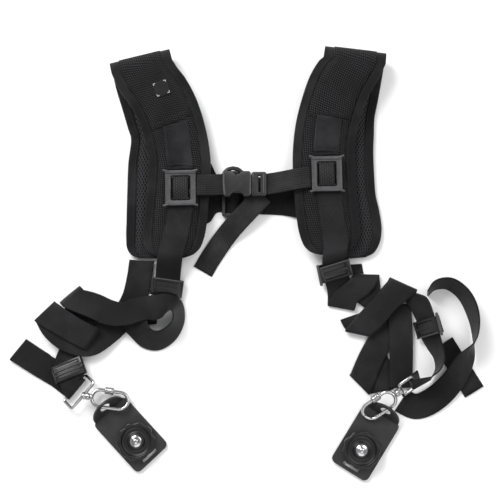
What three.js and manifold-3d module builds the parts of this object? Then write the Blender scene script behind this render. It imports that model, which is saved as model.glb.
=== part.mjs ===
// Double shoulder harness for two cameras, laid flat on a table: two folded padded shoulder straps, a chest
// strap with a side release buckle, a rear strap with its adjuster, and two long webbing slings. Each sling
// carries two strap locks, a square ring and a locking snap hook that holds a camera plate.
// Millimetres. X runs across the shoulders, Y towards the shoulder folds and Z up from the table.

import * as THREE from 'three';
import { mergeVertices } from 'three/addons/utils/BufferGeometryUtils.js';
import Module from 'manifold-3d';

const wasm = await Module();
wasm.setup();

// Driving dimensions
const padWidth = 62;
const padThick = 9;
const padEdgeThick = 3;
const padReach = 207;
const padSpacing = 216;
const foldStagger = 7.5;
const padGap = 0.7;
const webWidth = 25;
const webThick = 1.4;
const webGap = 0.9;
const slingReach = 200;
const chestWidth = 21;
const rearWidth = 38;
const sliderWidth = 30;
const sliderLength = 35;
const sliderThick = 3;
const sliderRim = 5;
const lockWidth = 32;
const lockLength = 17;
const lockHeight = 7.6;
const buckleLength = 28;
const buckleWidth = 25;
const buckleThick = 9;
const plugLength = 15;
const adjusterLength = 47;
const adjusterWidth = 25;
const adjusterThick = 3.4;
const plateLength = 65;
const plateWidth = 41;
const plateThick = 3.6;
const plateCorner = 5;
const slotLength = 18;
const slotWidth = 2.8;
const lugReach = 17.5;
const lugWidth = 36;
const lugThick = 2;
const lugLean = 60;
const lugHoleRadius = 5.5;
const wheelRadius = 19;
const wheelHeight = 8;
const wheelFloor = 3;
const wheelRecess = 14.3;
const wheelBoss = 8;
const wheelScallops = 10;
const scallopDepth = 1.4;
const screwRadius = 3.1;
const screwHead = 5;
const screwReach = 5;
const hookLength = 39;
const hookWidth = 20;
const hookWire = 3.5;
const sleeveLength = 8.5;
const sleeveRadius = 3.5;
const ringWire = 3;
const ringDepth = 17;
const barrelRadius = 3.6;
const barrelLength = 6.5;
const patchSize = 15;
const patchThick = 0.8;
const slingDrop = 9;
const slingInset = 10;
const sliderFlange = 3;
const stemRadius = 1.6;
const stemLength = 5;
const sleeveAt = 13.5;
const lugHoleAt = 9.5;
const slotInset = 5;
const wheelAt = -8.5;
const fit = 0.3;

const webPitch = webThick + webGap;
const padPitch = padThick + padGap;
const ringLength = webWidth + 2 * ringWire + 5;

// Finishes
function finish(color, roughness, metalness) {
  return new THREE.MeshStandardMaterial({ color, roughness, metalness });
}

const webbing = finish(0x26262a, 0.8, 0);
const grosgrain = finish(0x222226, 0.85, 0);
const padCloth = finish(0x29292d, 0.9, 0);
const plastic = finish(0x3a3a3e, 0.45, 0);
const plateRubber = finish(0x2c2c2f, 0.6, 0);
const chrome = finish(0xc9cacc, 0.2, 1);
const gunmetal = finish(0x3a3a3c, 0.35, 0.8);
const patchCloth = finish(0x303034, 0.85, 0);

const radians = THREE.MathUtils.degToRad;
const harness = new THREE.Group();

function addPiece(name, geometry, material, parent = harness) {
  const mesh = new THREE.Mesh(geometry, material);
  mesh.name = name;
  parent.add(mesh);
  return mesh;
}

// Joining and cutting of closed shapes

function toSolid(geometry) {
  const bare = geometry.clone();
  bare.deleteAttribute('normal');
  bare.deleteAttribute('uv');
  const merged = mergeVertices(bare, 1e-4);
  const vertProperties = new Float32Array(merged.attributes.position.array);
  const triVerts = new Uint32Array(merged.index.array);
  return new wasm.Manifold(new wasm.Mesh({ numProp: 3, vertProperties, triVerts }));
}

function toGeometry(solid) {
  const mesh = solid.getMesh();
  const geometry = new THREE.BufferGeometry();
  geometry.setAttribute('position', new THREE.BufferAttribute(new Float32Array(mesh.vertProperties), 3));
  geometry.setIndex(new THREE.BufferAttribute(new Uint32Array(mesh.triVerts), 1));
  return geometry;
}

// A closed skin over a row of rings with equal point counts. A loop joins the last ring to the first, and
// any other row gets a fan of triangles on both ends.
function skin(rings, isLoop = false) {
  const count = rings[0].length;
  const points = rings.flat();
  const faces = [];
  const spans = isLoop ? rings.length : rings.length - 1;
  for (let i = 0; i < spans; i += 1) {
    const a = i * count;
    const b = ((i + 1) % rings.length) * count;
    for (let j = 0; j < count; j += 1) {
      const k = (j + 1) % count;
      faces.push(a + j, b + j, b + k, a + j, b + k, a + k);
    }
  }
  if (!isLoop) {
    const last = (rings.length - 1) * count;
    const middle = (ring) => ring.reduce((sum, p) => sum.add(p), new THREE.Vector3()).divideScalar(count);
    const hub = points.push(middle(rings[0]), middle(rings.at(-1))) - 2;
    for (let j = 0; j < count; j += 1) {
      const k = (j + 1) % count;
      faces.push(hub, j, k, hub + 1, last + k, last + j);
    }
  }
  let volume = 0;
  const cross = new THREE.Vector3();
  for (let i = 0; i < faces.length; i += 3) {
    volume += points[faces[i]].dot(cross.crossVectors(points[faces[i + 1]], points[faces[i + 2]]));
  }
  if (volume < 0) {
    faces.reverse();
  }
  const geometry = new THREE.BufferGeometry().setFromPoints(points);
  geometry.setIndex(faces);
  return geometry;
}

// Webbing and pads: a row gives the middle of a section (x and y as shares of a reach, lift in layers above
// the table), the plan angle of the line across it (turn), how far that line leans up (tilt, both in
// degrees), and its width and thickness as shares. A row with a `to` is a fold: the strap turns over along
// that line and leaves at the layer `to`.

const foldSteps = 5;
const spanSteps = 2;

function sectionAt(row, lay) {
  const half = 0.5 * lay.width * (row.wide ?? 1);
  const rise = Math.abs(Math.sin(radians(row.tilt ?? 0))) * half;
  const height = (lift) => lay.floor + lift * lay.pitch + rise;
  return {
    centre: new THREE.Vector3(lay.x + row.x * lay.reach, lay.y + row.y * lay.reach, height(row.lift)),
    turn: row.turn,
    tilt: row.tilt ?? 0,
    half,
    thick: row.thick ?? 1,
    leaves: row.to === undefined ? null : height(row.to),
  };
}

function acrossLine(section) {
  const flat = Math.cos(radians(section.tilt));
  const turn = radians(section.turn);
  return new THREE.Vector3(flat * Math.cos(turn), flat * Math.sin(turn), Math.sin(radians(section.tilt)));
}

function stationsOf(rows, lay) {
  const sections = rows.map((row) => sectionAt(row, lay));
  const stretches = [[]];
  for (const section of sections) {
    stretches.at(-1).push(section);
    if (section.leaves !== null) {
      const after = { ...section, centre: section.centre.clone().setZ(section.leaves) };
      stretches.push([after]);
    }
  }
  const stations = [];
  stretches.forEach((stretch, index) => {
    if (index > 0) {
      stations.push(...foldOver(stretches[index - 1], stretch));
    }
    const path = new THREE.CatmullRomCurve3(stretch.map((s) => s.centre), false, 'centripetal');
    const spans = stretch.length - 1;
    for (let i = 0; i <= spans * spanSteps; i += 1) {
      const whole = Math.min(Math.floor(i / spanSteps), spans - 1);
      const part = i / spanSteps - whole;
      const from = stretch[whole];
      const goal = stretch[whole + 1];
      const mix = (key) => THREE.MathUtils.lerp(from[key], goal[key], part);
      const centre = path.getPoint(i / (spans * spanSteps));
      centre.z = Math.max(centre.z, lay.floor);
      stations.push({ centre, turn: mix('turn'), tilt: mix('tilt'), half: mix('half'), thick: mix('thick') });
    }
  });
  return stations;
}

function foldOver(before, after) {
  const start = before.at(-1);
  const travel = start.centre.clone().sub(before.at(-2).centre).setZ(0);
  const along = acrossLine(start).setZ(0).normalize();
  const outward = travel.addScaledVector(along, -travel.dot(along)).normalize();
  const radius = 0.5 * (after[0].centre.z - start.centre.z);
  const steps = [];
  for (let i = 1; i < foldSteps; i += 1) {
    const angle = (Math.PI * i) / foldSteps;
    const centre = start.centre.clone();
    centre.addScaledVector(outward, Math.abs(radius) * Math.sin(angle));
    centre.z += radius * (1 - Math.cos(angle));
    steps.push({ ...start, centre });
  }
  return steps;
}

// The profile is a closed list of [share of the half width, height in millimetres].
function sweep(stations, profile) {
  const unit = (from, goal) => goal.centre.clone().sub(from.centre).normalize();
  const rings = stations.map((station, i) => {
    const before = unit(stations[Math.max(i - 1, 0)], stations[Math.max(i, 1)]);
    const last = stations.length - 1;
    const after = unit(stations[Math.min(i, last - 1)], stations[Math.min(i + 1, last)]);
    const across = acrossLine(station);
    const normal = before.add(after).cross(across).normalize();
    return profile.map(([share, height]) => station.centre.clone()
      .addScaledVector(across, share * station.half)
      .addScaledVector(normal, height * station.thick));
  });
  return skin(rings);
}

function strapProfile(thick) {
  return [[-1, -thick / 2], [1, -thick / 2], [1, thick / 2], [-1, thick / 2]];
}

function layStrap(name, rows, lay, material = webbing) {
  return addPiece(name, sweep(stationsOf(rows, lay), strapProfile(webThick)), material);
}

// Shoulder pads, travelling from the rear end over the shoulder fold to the front end

const padProfile = [
  [-1, -0.5 * padEdgeThick], [-0.74, -0.5 * padEdgeThick], [-0.55, -0.5 * padThick],
  [0.55, -0.5 * padThick], [0.74, -0.5 * padEdgeThick], [1, -0.5 * padEdgeThick],
  [1, 0.5 * padEdgeThick], [0.74, 0.5 * padEdgeThick], [0.55, 0.5 * padThick],
  [-0.55, 0.5 * padThick], [-0.74, 0.5 * padEdgeThick], [-1, 0.5 * padEdgeThick],
];

const leftPadRows = [
  { x: 0.06, y: -1.0, lift: 0, turn: 0, wide: 0.42, thick: 0.5 },
  { x: 0.063, y: -0.985, lift: 0, turn: 0, wide: 0.66, thick: 0.7 },
  { x: 0.07, y: -0.955, lift: 0, turn: 0, wide: 0.86, thick: 0.95 },
  { x: 0.08, y: -0.9, lift: 0, turn: 0, wide: 0.97 },
  { x: 0.085, y: -0.82, lift: 0, turn: 0 },
  { x: 0.087, y: -0.67, lift: 0, turn: 0 },
  { x: 0.09, y: -0.53, lift: 0, turn: 3 },
  { x: 0.1, y: -0.39, lift: 0, turn: 9 },
  { x: 0.08, y: -0.32, lift: 0, turn: 16 },
  { x: 0.05, y: -0.22, lift: 0, turn: 17 },
  { x: 0.022, y: -0.13, lift: 0, turn: 15 },
  { x: 0.01, y: -0.08, lift: 0, turn: 14, to: 1.95 },
  { x: 0.042, y: -0.14, lift: 1.95, turn: 22 },
  { x: 0.086, y: -0.2, lift: 1.8, turn: 25 },
  { x: 0.13, y: -0.28, lift: 1.5, turn: 21 },
  { x: 0.167, y: -0.39, lift: 1.15, turn: 13 },
  { x: 0.192, y: -0.53, lift: 1, turn: 3 },
  { x: 0.185, y: -0.7, lift: 1, turn: -3 },
  { x: 0.176, y: -0.82, lift: 1, turn: -3 },
  { x: 0.167, y: -0.9, lift: 1, turn: -3, wide: 0.97 },
  { x: 0.16, y: -0.955, lift: 1, turn: -3, wide: 0.86, thick: 0.95 },
  { x: 0.155, y: -0.985, lift: 1, turn: -3, wide: 0.66, thick: 0.7 },
  { x: 0.153, y: -1.0, lift: 1, turn: -3, wide: 0.42, thick: 0.5 },
];

const rightPadRows = [
  { x: -0.02, y: -1.035, lift: 0, turn: 4, wide: 0.42, thick: 0.5 },
  { x: -0.02, y: -1.02, lift: 0, turn: 4, wide: 0.66, thick: 0.7 },
  { x: -0.02, y: -0.985, lift: 0, turn: 6, wide: 0.86, thick: 0.95 },
  { x: -0.023, y: -0.92, lift: 0, turn: 7, wide: 0.98 },
  { x: -0.035, y: -0.83, lift: 0, turn: 8 },
  { x: -0.053, y: -0.74, lift: 0, turn: 5 },
  { x: -0.06, y: -0.62, lift: 0, turn: 2 },
  { x: -0.062, y: -0.52, lift: 0, turn: -1 },
  { x: -0.058, y: -0.42, lift: 0, turn: -4 },
  { x: -0.053, y: -0.33, lift: 0, turn: -8 },
  { x: -0.035, y: -0.24, lift: 0, turn: -9 },
  { x: -0.018, y: -0.15, lift: 0, turn: -8 },
  { x: -0.006, y: -0.085, lift: 0, turn: -7, to: 1.95 },
  { x: -0.042, y: -0.14, lift: 1.95, turn: -18 },
  { x: -0.082, y: -0.21, lift: 1.8, turn: -19 },
  { x: -0.118, y: -0.31, lift: 1.45, turn: -15 },
  { x: -0.145, y: -0.42, lift: 1.15, turn: -8 },
  { x: -0.157, y: -0.55, lift: 1, turn: -1 },
  { x: -0.152, y: -0.69, lift: 1, turn: 3 },
  { x: -0.142, y: -0.82, lift: 1, turn: 6 },
  { x: -0.13, y: -0.91, lift: 1, turn: 9, wide: 0.97 },
  { x: -0.12, y: -0.97, lift: 1, turn: 9, wide: 0.86, thick: 0.95 },
  { x: -0.115, y: -1.0, lift: 1, turn: 9, wide: 0.66, thick: 0.7 },
  { x: -0.113, y: -1.015, lift: 1, turn: 9, wide: 0.42, thick: 0.5 },
];

const padFloor = 0.5 * padThick;
const padLay = { reach: padReach, width: padWidth, pitch: padPitch, floor: padFloor };
const leftLay = { ...padLay, x: -padSpacing / 2 - 2, y: padReach - slingDrop };
const rightLay = { ...padLay, x: padSpacing / 2 - 2, y: padReach - slingDrop + foldStagger };

addPiece('left_pad', sweep(stationsOf(leftPadRows, leftLay), padProfile), padCloth);
addPiece('right_pad', sweep(stationsOf(rightPadRows, rightLay), padProfile), padCloth);

// Webbing on the front of each pad: a sewn strip down to the slider, then the front run of the sling

const padTop = padFloor + padPitch + 0.5 * padThick;
const padSurface = padTop + fit + 0.5 * webThick;

function surfaceLay(lay) {
  return { ...lay, width: webWidth, pitch: padSurface, floor: 0 };
}

const leftStripRows = [
  { x: 0.172, y: -0.358, lift: 1.14, turn: 14 },
  { x: 0.182, y: -0.42, lift: 1.065, turn: 9 },
  { x: 0.189, y: -0.5, lift: 1.02, turn: 4 },
  { x: 0.198, y: -0.57, lift: 1, turn: 0 },
  { x: 0.2, y: -0.7, lift: 1, turn: -1 },
];
const rightStripRows = [
  { x: -0.129, y: -0.362, lift: 1.19, turn: -11 },
  { x: -0.139, y: -0.43, lift: 1.085, turn: -7 },
  { x: -0.145, y: -0.5, lift: 1.03, turn: -3 },
  { x: -0.146, y: -0.54, lift: 1.01, turn: 0 },
  { x: -0.145, y: -0.68, lift: 1, turn: 1 },
];
layStrap('left_pad_webbing', leftStripRows, surfaceLay(leftLay), grosgrain);
layStrap('right_pad_webbing', rightStripRows, surfaceLay(rightLay), grosgrain);

const leftSling = {
  x: leftLay.x + slingInset, y: 1 - slingDrop, reach: slingReach, width: webWidth,
  pitch: webPitch, floor: 0.5 * webThick + 0.05,
};
const rightSling = { ...leftSling, x: rightLay.x - slingInset - 6 };

const leftFrontRows = [
  { x: 0.163, y: 0.3, lift: 1, turn: -1 },
  { x: 0.155, y: 0.22, lift: 1, turn: -2 },
  { x: 0.14, y: 0.13, lift: 1, turn: -5 },
  { x: 0.12, y: 0.05, lift: 1, turn: -8 },
  { x: 0.107, y: 0, lift: 0.93, turn: -8 },
  { x: 0.1, y: -0.045, lift: 0.67, turn: -8 },
  { x: 0.094, y: -0.09, lift: 0.4, turn: -8 },
  { x: 0.088, y: -0.15, lift: 0.24, turn: -8 },
  { x: 0.083, y: -0.2, lift: 0.14, turn: -6 },
  { x: 0.08, y: -0.23, lift: 0.06, turn: -4 },
];
const rightFrontRows = [
  { x: -0.065, y: 0.36, lift: 1, turn: 2 },
  { x: -0.056, y: 0.27, lift: 1, turn: 3 },
  { x: -0.045, y: 0.17, lift: 1.01, turn: 5 },
  { x: -0.028, y: 0.06, lift: 1.01, turn: 10 },
  { x: -0.034, y: 0, lift: 0.92, turn: 14 },
  { x: -0.034, y: -0.045, lift: 0.63, turn: 17 },
  { x: -0.024, y: -0.09, lift: 0.38, turn: 17 },
  { x: -0.01, y: -0.135, lift: 0.18, turn: 14 },
  { x: -0.002, y: -0.19, lift: 0.08, turn: 0 },
  { x: 0.003, y: -0.245, lift: 0.04, turn: -10, wide: 1.1, to: 0.15 },
  { x: 0.025, y: -0.2, lift: 0.2, turn: -22, tilt: -3 },
  { x: 0.1, y: -0.14, lift: 0.165, turn: -27, tilt: -10 },
  { x: 0.127, y: -0.092, lift: 0.155, turn: -2, wide: 1.08, to: 0.055 },
  { x: 0.137, y: -0.15, lift: 0.055, turn: -12 },
  { x: 0.134, y: -0.21, lift: 0.055, turn: -24 },
  { x: 0.133, y: -0.258, lift: 0.055, turn: -34 },
];
const leftFront = stationsOf(leftFrontRows, { ...leftSling, pitch: padSurface - leftSling.floor });
const rightFront = stationsOf(rightFrontRows, { ...rightSling, pitch: padSurface - rightSling.floor });
addPiece('left_sling_front', sweep(leftFront, strapProfile(webThick)), webbing);
addPiece('right_sling_front', sweep(rightFront, strapProfile(webThick)), webbing);

// Left sling: the curl over the front lock, the band back over the heap, and the rear run

const leftCurlRows = [
  { x: 0.04, y: -0.27, lift: 2, turn: -90 },
  { x: -0.03, y: -0.275, lift: 2, turn: -90 },
  { x: -0.11, y: -0.29, lift: 2, turn: -95, to: 3.2 },
  { x: -0.055, y: -0.345, lift: 2, turn: -135, tilt: -20 },
  { x: -0.01, y: -0.4, lift: 0.3, turn: -112, tilt: -35 },
  { x: 0.045, y: -0.415, lift: 0, turn: -85, tilt: -43 },
  { x: 0.11, y: -0.38, lift: 0, turn: -45, tilt: -55 },
  { x: 0.148, y: -0.315, lift: 0, turn: 0, tilt: -65 },
  { x: 0.14, y: -0.25, lift: 1.8, turn: 35, tilt: -58 },
  { x: 0.085, y: -0.245, lift: 5, turn: 75, tilt: -12 },
  { x: 0.025, y: -0.255, lift: 6.2, turn: 95 },
  { x: -0.05, y: -0.265, lift: 6.4, turn: 122, wide: 0.96 },
  { x: -0.11, y: -0.285, lift: 6.4, turn: 93, wide: 0.9 },
  { x: -0.185, y: -0.28, lift: 6.3, turn: 70 },
  { x: -0.265, y: -0.245, lift: 6.2, turn: 63 },
  { x: -0.37, y: -0.208, lift: 6.2, turn: 41, wide: 1.03, to: 1.2 },
  { x: -0.342, y: -0.28, lift: 1.2, turn: 14, wide: 1.15 },
  { x: -0.326, y: -0.33, lift: 1.2, turn: 14, wide: 1.3 },
];
layStrap('left_sling_curl', leftCurlRows, leftSling);

const leftRearRows = [
  { x: -0.27, y: -0.41, lift: 4.9, turn: 236 },
  { x: -0.37, y: -0.36, lift: 5, turn: 236 },
  { x: -0.505, y: -0.275, lift: 5, turn: 224, wide: 1.1, to: 3.9 },
  { x: -0.45, y: -0.37, lift: 3.9, turn: 209 },
  { x: -0.39, y: -0.41, lift: 4.1, turn: 234 },
  { x: -0.29, y: -0.43, lift: 3.4, turn: 278 },
  { x: -0.19, y: -0.36, lift: 1.6, turn: 306 },
  { x: -0.12, y: -0.28, lift: 0.1, turn: 332 },
  { x: -0.075, y: -0.2, lift: 0.1, turn: 348 },
  { x: -0.05, y: -0.1, lift: 0.8, turn: 352 },
  { x: -0.038, y: -0.015, lift: 1.6, turn: 356 },
];

layStrap('left_sling_rear', leftRearRows, leftSling);

// Right sling: the band across the heap, the drop and the fold under it, the big loop, tail and rear run

const rightCrossRows = [
  { x: 0.055, y: -0.29, lift: 1.5, turn: 19 },
  { x: 0.085, y: -0.37, lift: 1.5, turn: -11, wide: 1.04, to: 3.4 },
  { x: 0.16, y: -0.295, lift: 3.6, turn: -41 },
  { x: 0.24, y: -0.205, lift: 4.6, turn: -40 },
  { x: 0.3, y: -0.15, lift: 5.6, turn: -24, wide: 1.2, to: 2.8 },
  { x: 0.37, y: -0.22, lift: 2.4, turn: 6, tilt: 36 },
  { x: 0.41, y: -0.31, lift: 2.4, turn: 15, tilt: 52 },
  { x: 0.432, y: -0.39, lift: 2.2, turn: 15, tilt: 52 },
  { x: 0.457, y: -0.45, lift: 1, turn: 4, tilt: 62 },
  { x: 0.475, y: -0.5, lift: 0.4, turn: -5, tilt: 74 },
  { x: 0.468, y: -0.555, lift: 0.4, turn: -24, tilt: 86 },
  { x: 0.43, y: -0.6, lift: 1.2, turn: -49, tilt: 98 },
];
const rightDropRows = [
  { x: 0.29, y: -0.23, lift: 1.8, turn: -4, wide: 0.92 },
  { x: 0.293, y: -0.32, lift: 1.8, turn: -2, wide: 0.94 },
  { x: 0.295, y: -0.435, lift: 1.8, turn: 0, wide: 0.94 },
  { x: 0.293, y: -0.57, lift: 1.2, turn: 1, wide: 0.92 },
  { x: 0.292, y: -0.61, lift: 0.9, turn: 2, wide: 0.9 },
  { x: 0.29, y: -0.645, lift: 0.7, turn: 2, wide: 0.88 },
];
const rightFoldRows = [
  { x: 0.266, y: -0.31, lift: 0.7, turn: -20 },
  { x: 0.22, y: -0.38, lift: 0.7, turn: -29 },
  { x: 0.155, y: -0.485, lift: 0.85, turn: -31 },
  { x: 0.093, y: -0.625, lift: 0.9, turn: -46, wide: 1.1, to: 0 },
  { x: 0.175, y: -0.6, lift: 0, turn: -62, wide: 1.12 },
  { x: 0.215, y: -0.578, lift: 0, turn: -66, wide: 1.35 },
  { x: 0.25, y: -0.543, lift: 0, turn: -70, wide: 1.42 },
];
const rightLoopRows = [
  { x: 0.295, y: -0.705, lift: 0, turn: 57 },
  { x: 0.36, y: -0.735, lift: 0, turn: 86 },
  { x: 0.43, y: -0.715, lift: 0.3, turn: 120 },
  { x: 0.525, y: -0.635, lift: 1.1, turn: 143, tilt: 12 },
  { x: 0.61, y: -0.5, lift: 1.4, turn: 156, tilt: 42 },
  { x: 0.648, y: -0.42, lift: 0.8, turn: 168, tilt: 84 },
  { x: 0.65, y: -0.3, lift: 0, turn: 185, tilt: 106 },
  { x: 0.605, y: -0.19, lift: 0, turn: 213, tilt: 112 },
  { x: 0.53, y: -0.135, lift: 0, turn: 250, tilt: 112 },
  { x: 0.46, y: -0.145, lift: 0, turn: 285, tilt: 108 },
  { x: 0.425, y: -0.185, lift: 0, turn: 320, tilt: 100 },
];
const rightTailRows = [
  { x: 0.505, y: -0.425, lift: 1.6, turn: 34, wide: 0.85 },
  { x: 0.545, y: -0.485, lift: 0.2, turn: 34, wide: 0.85 },
  { x: 0.595, y: -0.565, lift: 0, turn: 33, wide: 0.85 },
  { x: 0.655, y: -0.665, lift: 0, turn: 31, wide: 0.87 },
];
const rightRearRows = [
  { x: 0.045, y: -0.035, lift: 0.7, turn: 4 },
  { x: 0.05, y: -0.06, lift: 0.1, turn: 2 },
  { x: 0.054, y: -0.08, lift: 0, turn: 1 },
];
layStrap('right_sling_drop', rightDropRows, rightSling);
layStrap('right_sling_fold', rightFoldRows, rightSling);
layStrap('right_sling_loop', rightLoopRows, rightSling);
layStrap('right_sling_tail', rightTailRows, rightSling);
layStrap('right_sling_rear', rightRearRows, rightSling);

// Frames that the metal and plastic pieces sit in

function bearing(turn, tilt = 0) {
  return acrossLine({ turn, tilt });
}

function placeIn(mesh, x, z, origin) {
  const y = z.clone().cross(x).normalize();
  mesh.applyMatrix4(new THREE.Matrix4().makeBasis(x, y, x.clone().cross(y)).setPosition(origin));
  return mesh;
}

function prism(outline, depth, holes = [], curveSegments = 8) {
  const shape = new THREE.Shape(outline);
  shape.holes = holes.map((hole) => new THREE.Path(hole));
  return new THREE.ExtrudeGeometry(shape, { depth, bevelEnabled: false, curveSegments });
}

function roundedRectangle(length, width, corner, steps = 3) {
  const points = [];
  const corners = [[1, 1], [-1, 1], [-1, -1], [1, -1]];
  corners.forEach(([sx, sy], quarter) => {
    for (let i = 0; i <= steps; i += 1) {
      const angle = (Math.PI / 2) * (quarter + i / steps);
      const x = sx * (0.5 * length - corner) + corner * Math.cos(angle);
      const y = sy * (0.5 * width - corner) + corner * Math.sin(angle);
      points.push(new THREE.Vector2(x, y));
    }
  });
  return points;
}

function circle(radius, sides, x = 0, y = 0) {
  const step = (2 * Math.PI) / sides;
  return Array.from({ length: sides }, (_, i) => (
    new THREE.Vector2(x + radius * Math.cos(i * step), y + radius * Math.sin(i * step))));
}

// Round wire of the given radius along a closed flat outline
function wireLoop(outline, radius, sides) {
  const rings = outline.map((point, i) => {
    const before = outline[(i + outline.length - 1) % outline.length];
    const after = outline[(i + 1) % outline.length];
    const along = after.clone().sub(before).normalize();
    const outward = new THREE.Vector3(along.y, -along.x, 0);
    return Array.from({ length: sides }, (_, j) => {
      const angle = (2 * Math.PI * j) / sides;
      return new THREE.Vector3(point.x, point.y, 0)
        .addScaledVector(outward, radius * Math.cos(angle))
        .setZ(radius * Math.sin(angle));
    });
  });
  return skin(rings, true);
}

// Sliders on the pads

function sliderGeometry() {
  const window = roundedRectangle(sliderWidth - 2 * sliderRim, sliderLength - 2 * sliderRim, 2, 2);
  const outline = roundedRectangle(sliderWidth, sliderLength, 1.5, 2);
  const plate = toSolid(prism(outline, sliderThick, [window.reverse()]));
  const flange = new THREE.BoxGeometry(sliderWidth, sliderFlange, sliderThick + 1.2);
  const shift = 0.5 * (sliderLength - sliderFlange);
  const upper = toSolid(flange.clone().translate(0, shift, 0.5 * sliderThick + 0.6));
  const lower = toSolid(flange.clone().translate(0, -shift, 0.5 * sliderThick + 0.6));
  return toGeometry(plate.add(upper).add(lower));
}

function addSlider(name, lay, x, y, turn) {
  const height = padSurface + 0.5 * webThick + fit;
  const origin = new THREE.Vector3(lay.x + x * padReach, lay.y + y * padReach, height);
  return placeIn(addPiece(name, sliderGeometry(), plastic), bearing(turn), bearing(0, 90), origin);
}

const sliderShares = { left: 0.2, right: -0.145 };
addSlider('left_slider', leftLay, sliderShares.left, -0.672, 1);
addSlider('right_slider', rightLay, sliderShares.right, -0.64, 1);

// Strap locks: a flat sleeve round the webbing with a window and two bars on top

function lockGeometry() {
  const slot = roundedRectangle(webWidth + 3, webThick + 3.4, 0.5, 1).reverse();
  const sleeve = prism(roundedRectangle(lockWidth, lockHeight, 1.5, 1), lockLength, [slot]);
  sleeve.rotateX(Math.PI / 2).translate(0, 0.5 * lockLength, 0);
  const window = new THREE.BoxGeometry(webWidth - 2, 0.28 * lockLength, lockHeight);
  const cut = (share) => toSolid(window.clone().translate(0, share * lockLength, 0.5 * lockHeight));
  return toGeometry(toSolid(sleeve).subtract(cut(0.22)).subtract(cut(-0.22)));
}

function addLock(name, stations, index) {
  const at = stations[index];
  const x = acrossLine(at);
  const along = stations[index + 1].centre.clone().sub(stations[index - 1].centre).normalize();
  const z = along.clone().cross(x).normalize();
  if (z.z < 0) {
    x.negate();
    z.negate();
  }
  return placeIn(addPiece(name, lockGeometry(), plastic), x, z, at.centre);
}

addLock('left_front_lock', leftFront, 7 * spanSteps);
addLock('right_front_lock', rightFront, 6 * spanSteps - 1);

// Square rings: the webbing wraps round the inner bar and a swivel barrel sits on the outer bar

const ringSpan = ringDepth - ringWire;
const wrapRadius = 0.5 * (ringWire + webThick) + fit;

function ringFrame({ origin, turn, tilt, lean }) {
  const bar = bearing(turn, tilt);
  const flat = bearing(turn - 90);
  const reach = flat.clone().multiplyScalar(Math.cos(radians(lean)));
  reach.addScaledVector(flat.clone().cross(bar), Math.sin(radians(lean)));
  return { origin, bar, reach, normal: reach.clone().cross(bar) };
}

// A half turn of webbing round the inner bar, in sections that lie along the bar
function wrapStations(ring, turn, tilt, beyond) {
  const steps = 6;
  const stations = [];
  for (let i = 0; i <= steps; i += 1) {
    const angle = Math.PI * (0.5 - i / steps);
    const centre = ring.origin.clone()
      .addScaledVector(ring.reach, wrapRadius * Math.cos(angle))
      .addScaledVector(ring.normal, wrapRadius * Math.sin(angle));
    stations.push({ centre, turn, tilt, half: 0.5 * webWidth, thick: 1 });
  }
  if (beyond > 0) {
    const last = stations.at(-1);
    stations.push({ ...last, centre: last.centre.clone().addScaledVector(ring.reach, -beyond) });
  }
  return stations;
}

function addRing(name, ring, hookAxis) {
  const loop = wireLoop(roundedRectangle(ringLength - ringWire, ringSpan, 2.5, 2), 0.5 * ringWire, 8);
  const mesh = new THREE.Mesh(loop);
  const middle = ring.origin.clone().addScaledVector(ring.reach, 0.5 * ringSpan);
  placeIn(mesh, ring.bar, ring.normal, middle);
  mesh.updateMatrix();
  loop.applyMatrix4(mesh.matrix);
  const outer = ring.origin.clone().addScaledVector(ring.reach, ringSpan);
  const bore = stemRadius + fit;
  const start = -0.4 * ringWire;
  const barrel = new THREE.LatheGeometry([
    [0, start], [barrelRadius, start], [barrelRadius, barrelLength],
    [bore, barrelLength], [bore, 2.2], [0, 2.2],
  ].map(([r, h]) => new THREE.Vector2(r, h)), 12);
  const turned = new THREE.Quaternion().setFromUnitVectors(new THREE.Vector3(0, 1, 0), hookAxis);
  barrel.applyQuaternion(turned).translate(...outer.toArray());
  addPiece(name, toGeometry(toSolid(loop).add(toSolid(barrel))), chrome);
}

// Snap hooks: an oval wire with a stem in the swivel barrel and a locking sleeve on the gate side

const limbOffset = 0.5 * (hookWidth - hookWire);
const hookStart = barrelLength + fit;

function addHook(prefix, frame) {
  const outline = roundedRectangle(hookLength - hookWire, hookWidth - hookWire, limbOffset - 0.01, 5);
  const wire = wireLoop(outline, 0.5 * hookWire, 8).translate(hookStart + 0.5 * hookLength, 0, 0);
  const stem = new THREE.CylinderGeometry(stemRadius, stemRadius, stemLength, 10);
  stem.rotateZ(Math.PI / 2).translate(hookStart + 0.5 * hookWire - 0.5 * stemLength, 0, 0);
  const hook = addPiece(`${prefix}_hook`, toGeometry(toSolid(wire).add(toSolid(stem))), chrome);
  const bore = circle((0.5 * hookWire + fit) / Math.cos(Math.PI / 12), 12).reverse();
  const sleeve = prism(circle(sleeveRadius, 12), sleeveLength, [bore]).rotateY(Math.PI / 2);
  sleeve.translate(hookStart + sleeveAt, -frame.side * limbOffset, 0);
  placeIn(hook, frame.axis, frame.normal, frame.origin);
  placeIn(addPiece(`${prefix}_hook_sleeve`, sleeve, gunmetal), frame.axis, frame.normal, frame.origin);
}

// Camera plates: a flat plate with a bent up lug at one end, a slot at the other and a thumb wheel

const lugBase = { y: 0.5 * plateLength - 1, z: plateThick - 1 };
const lugHole = {
  y: lugBase.y + lugHoleAt * Math.cos(radians(lugLean)),
  z: lugBase.z + lugHoleAt * Math.sin(radians(lugLean)),
};

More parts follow.
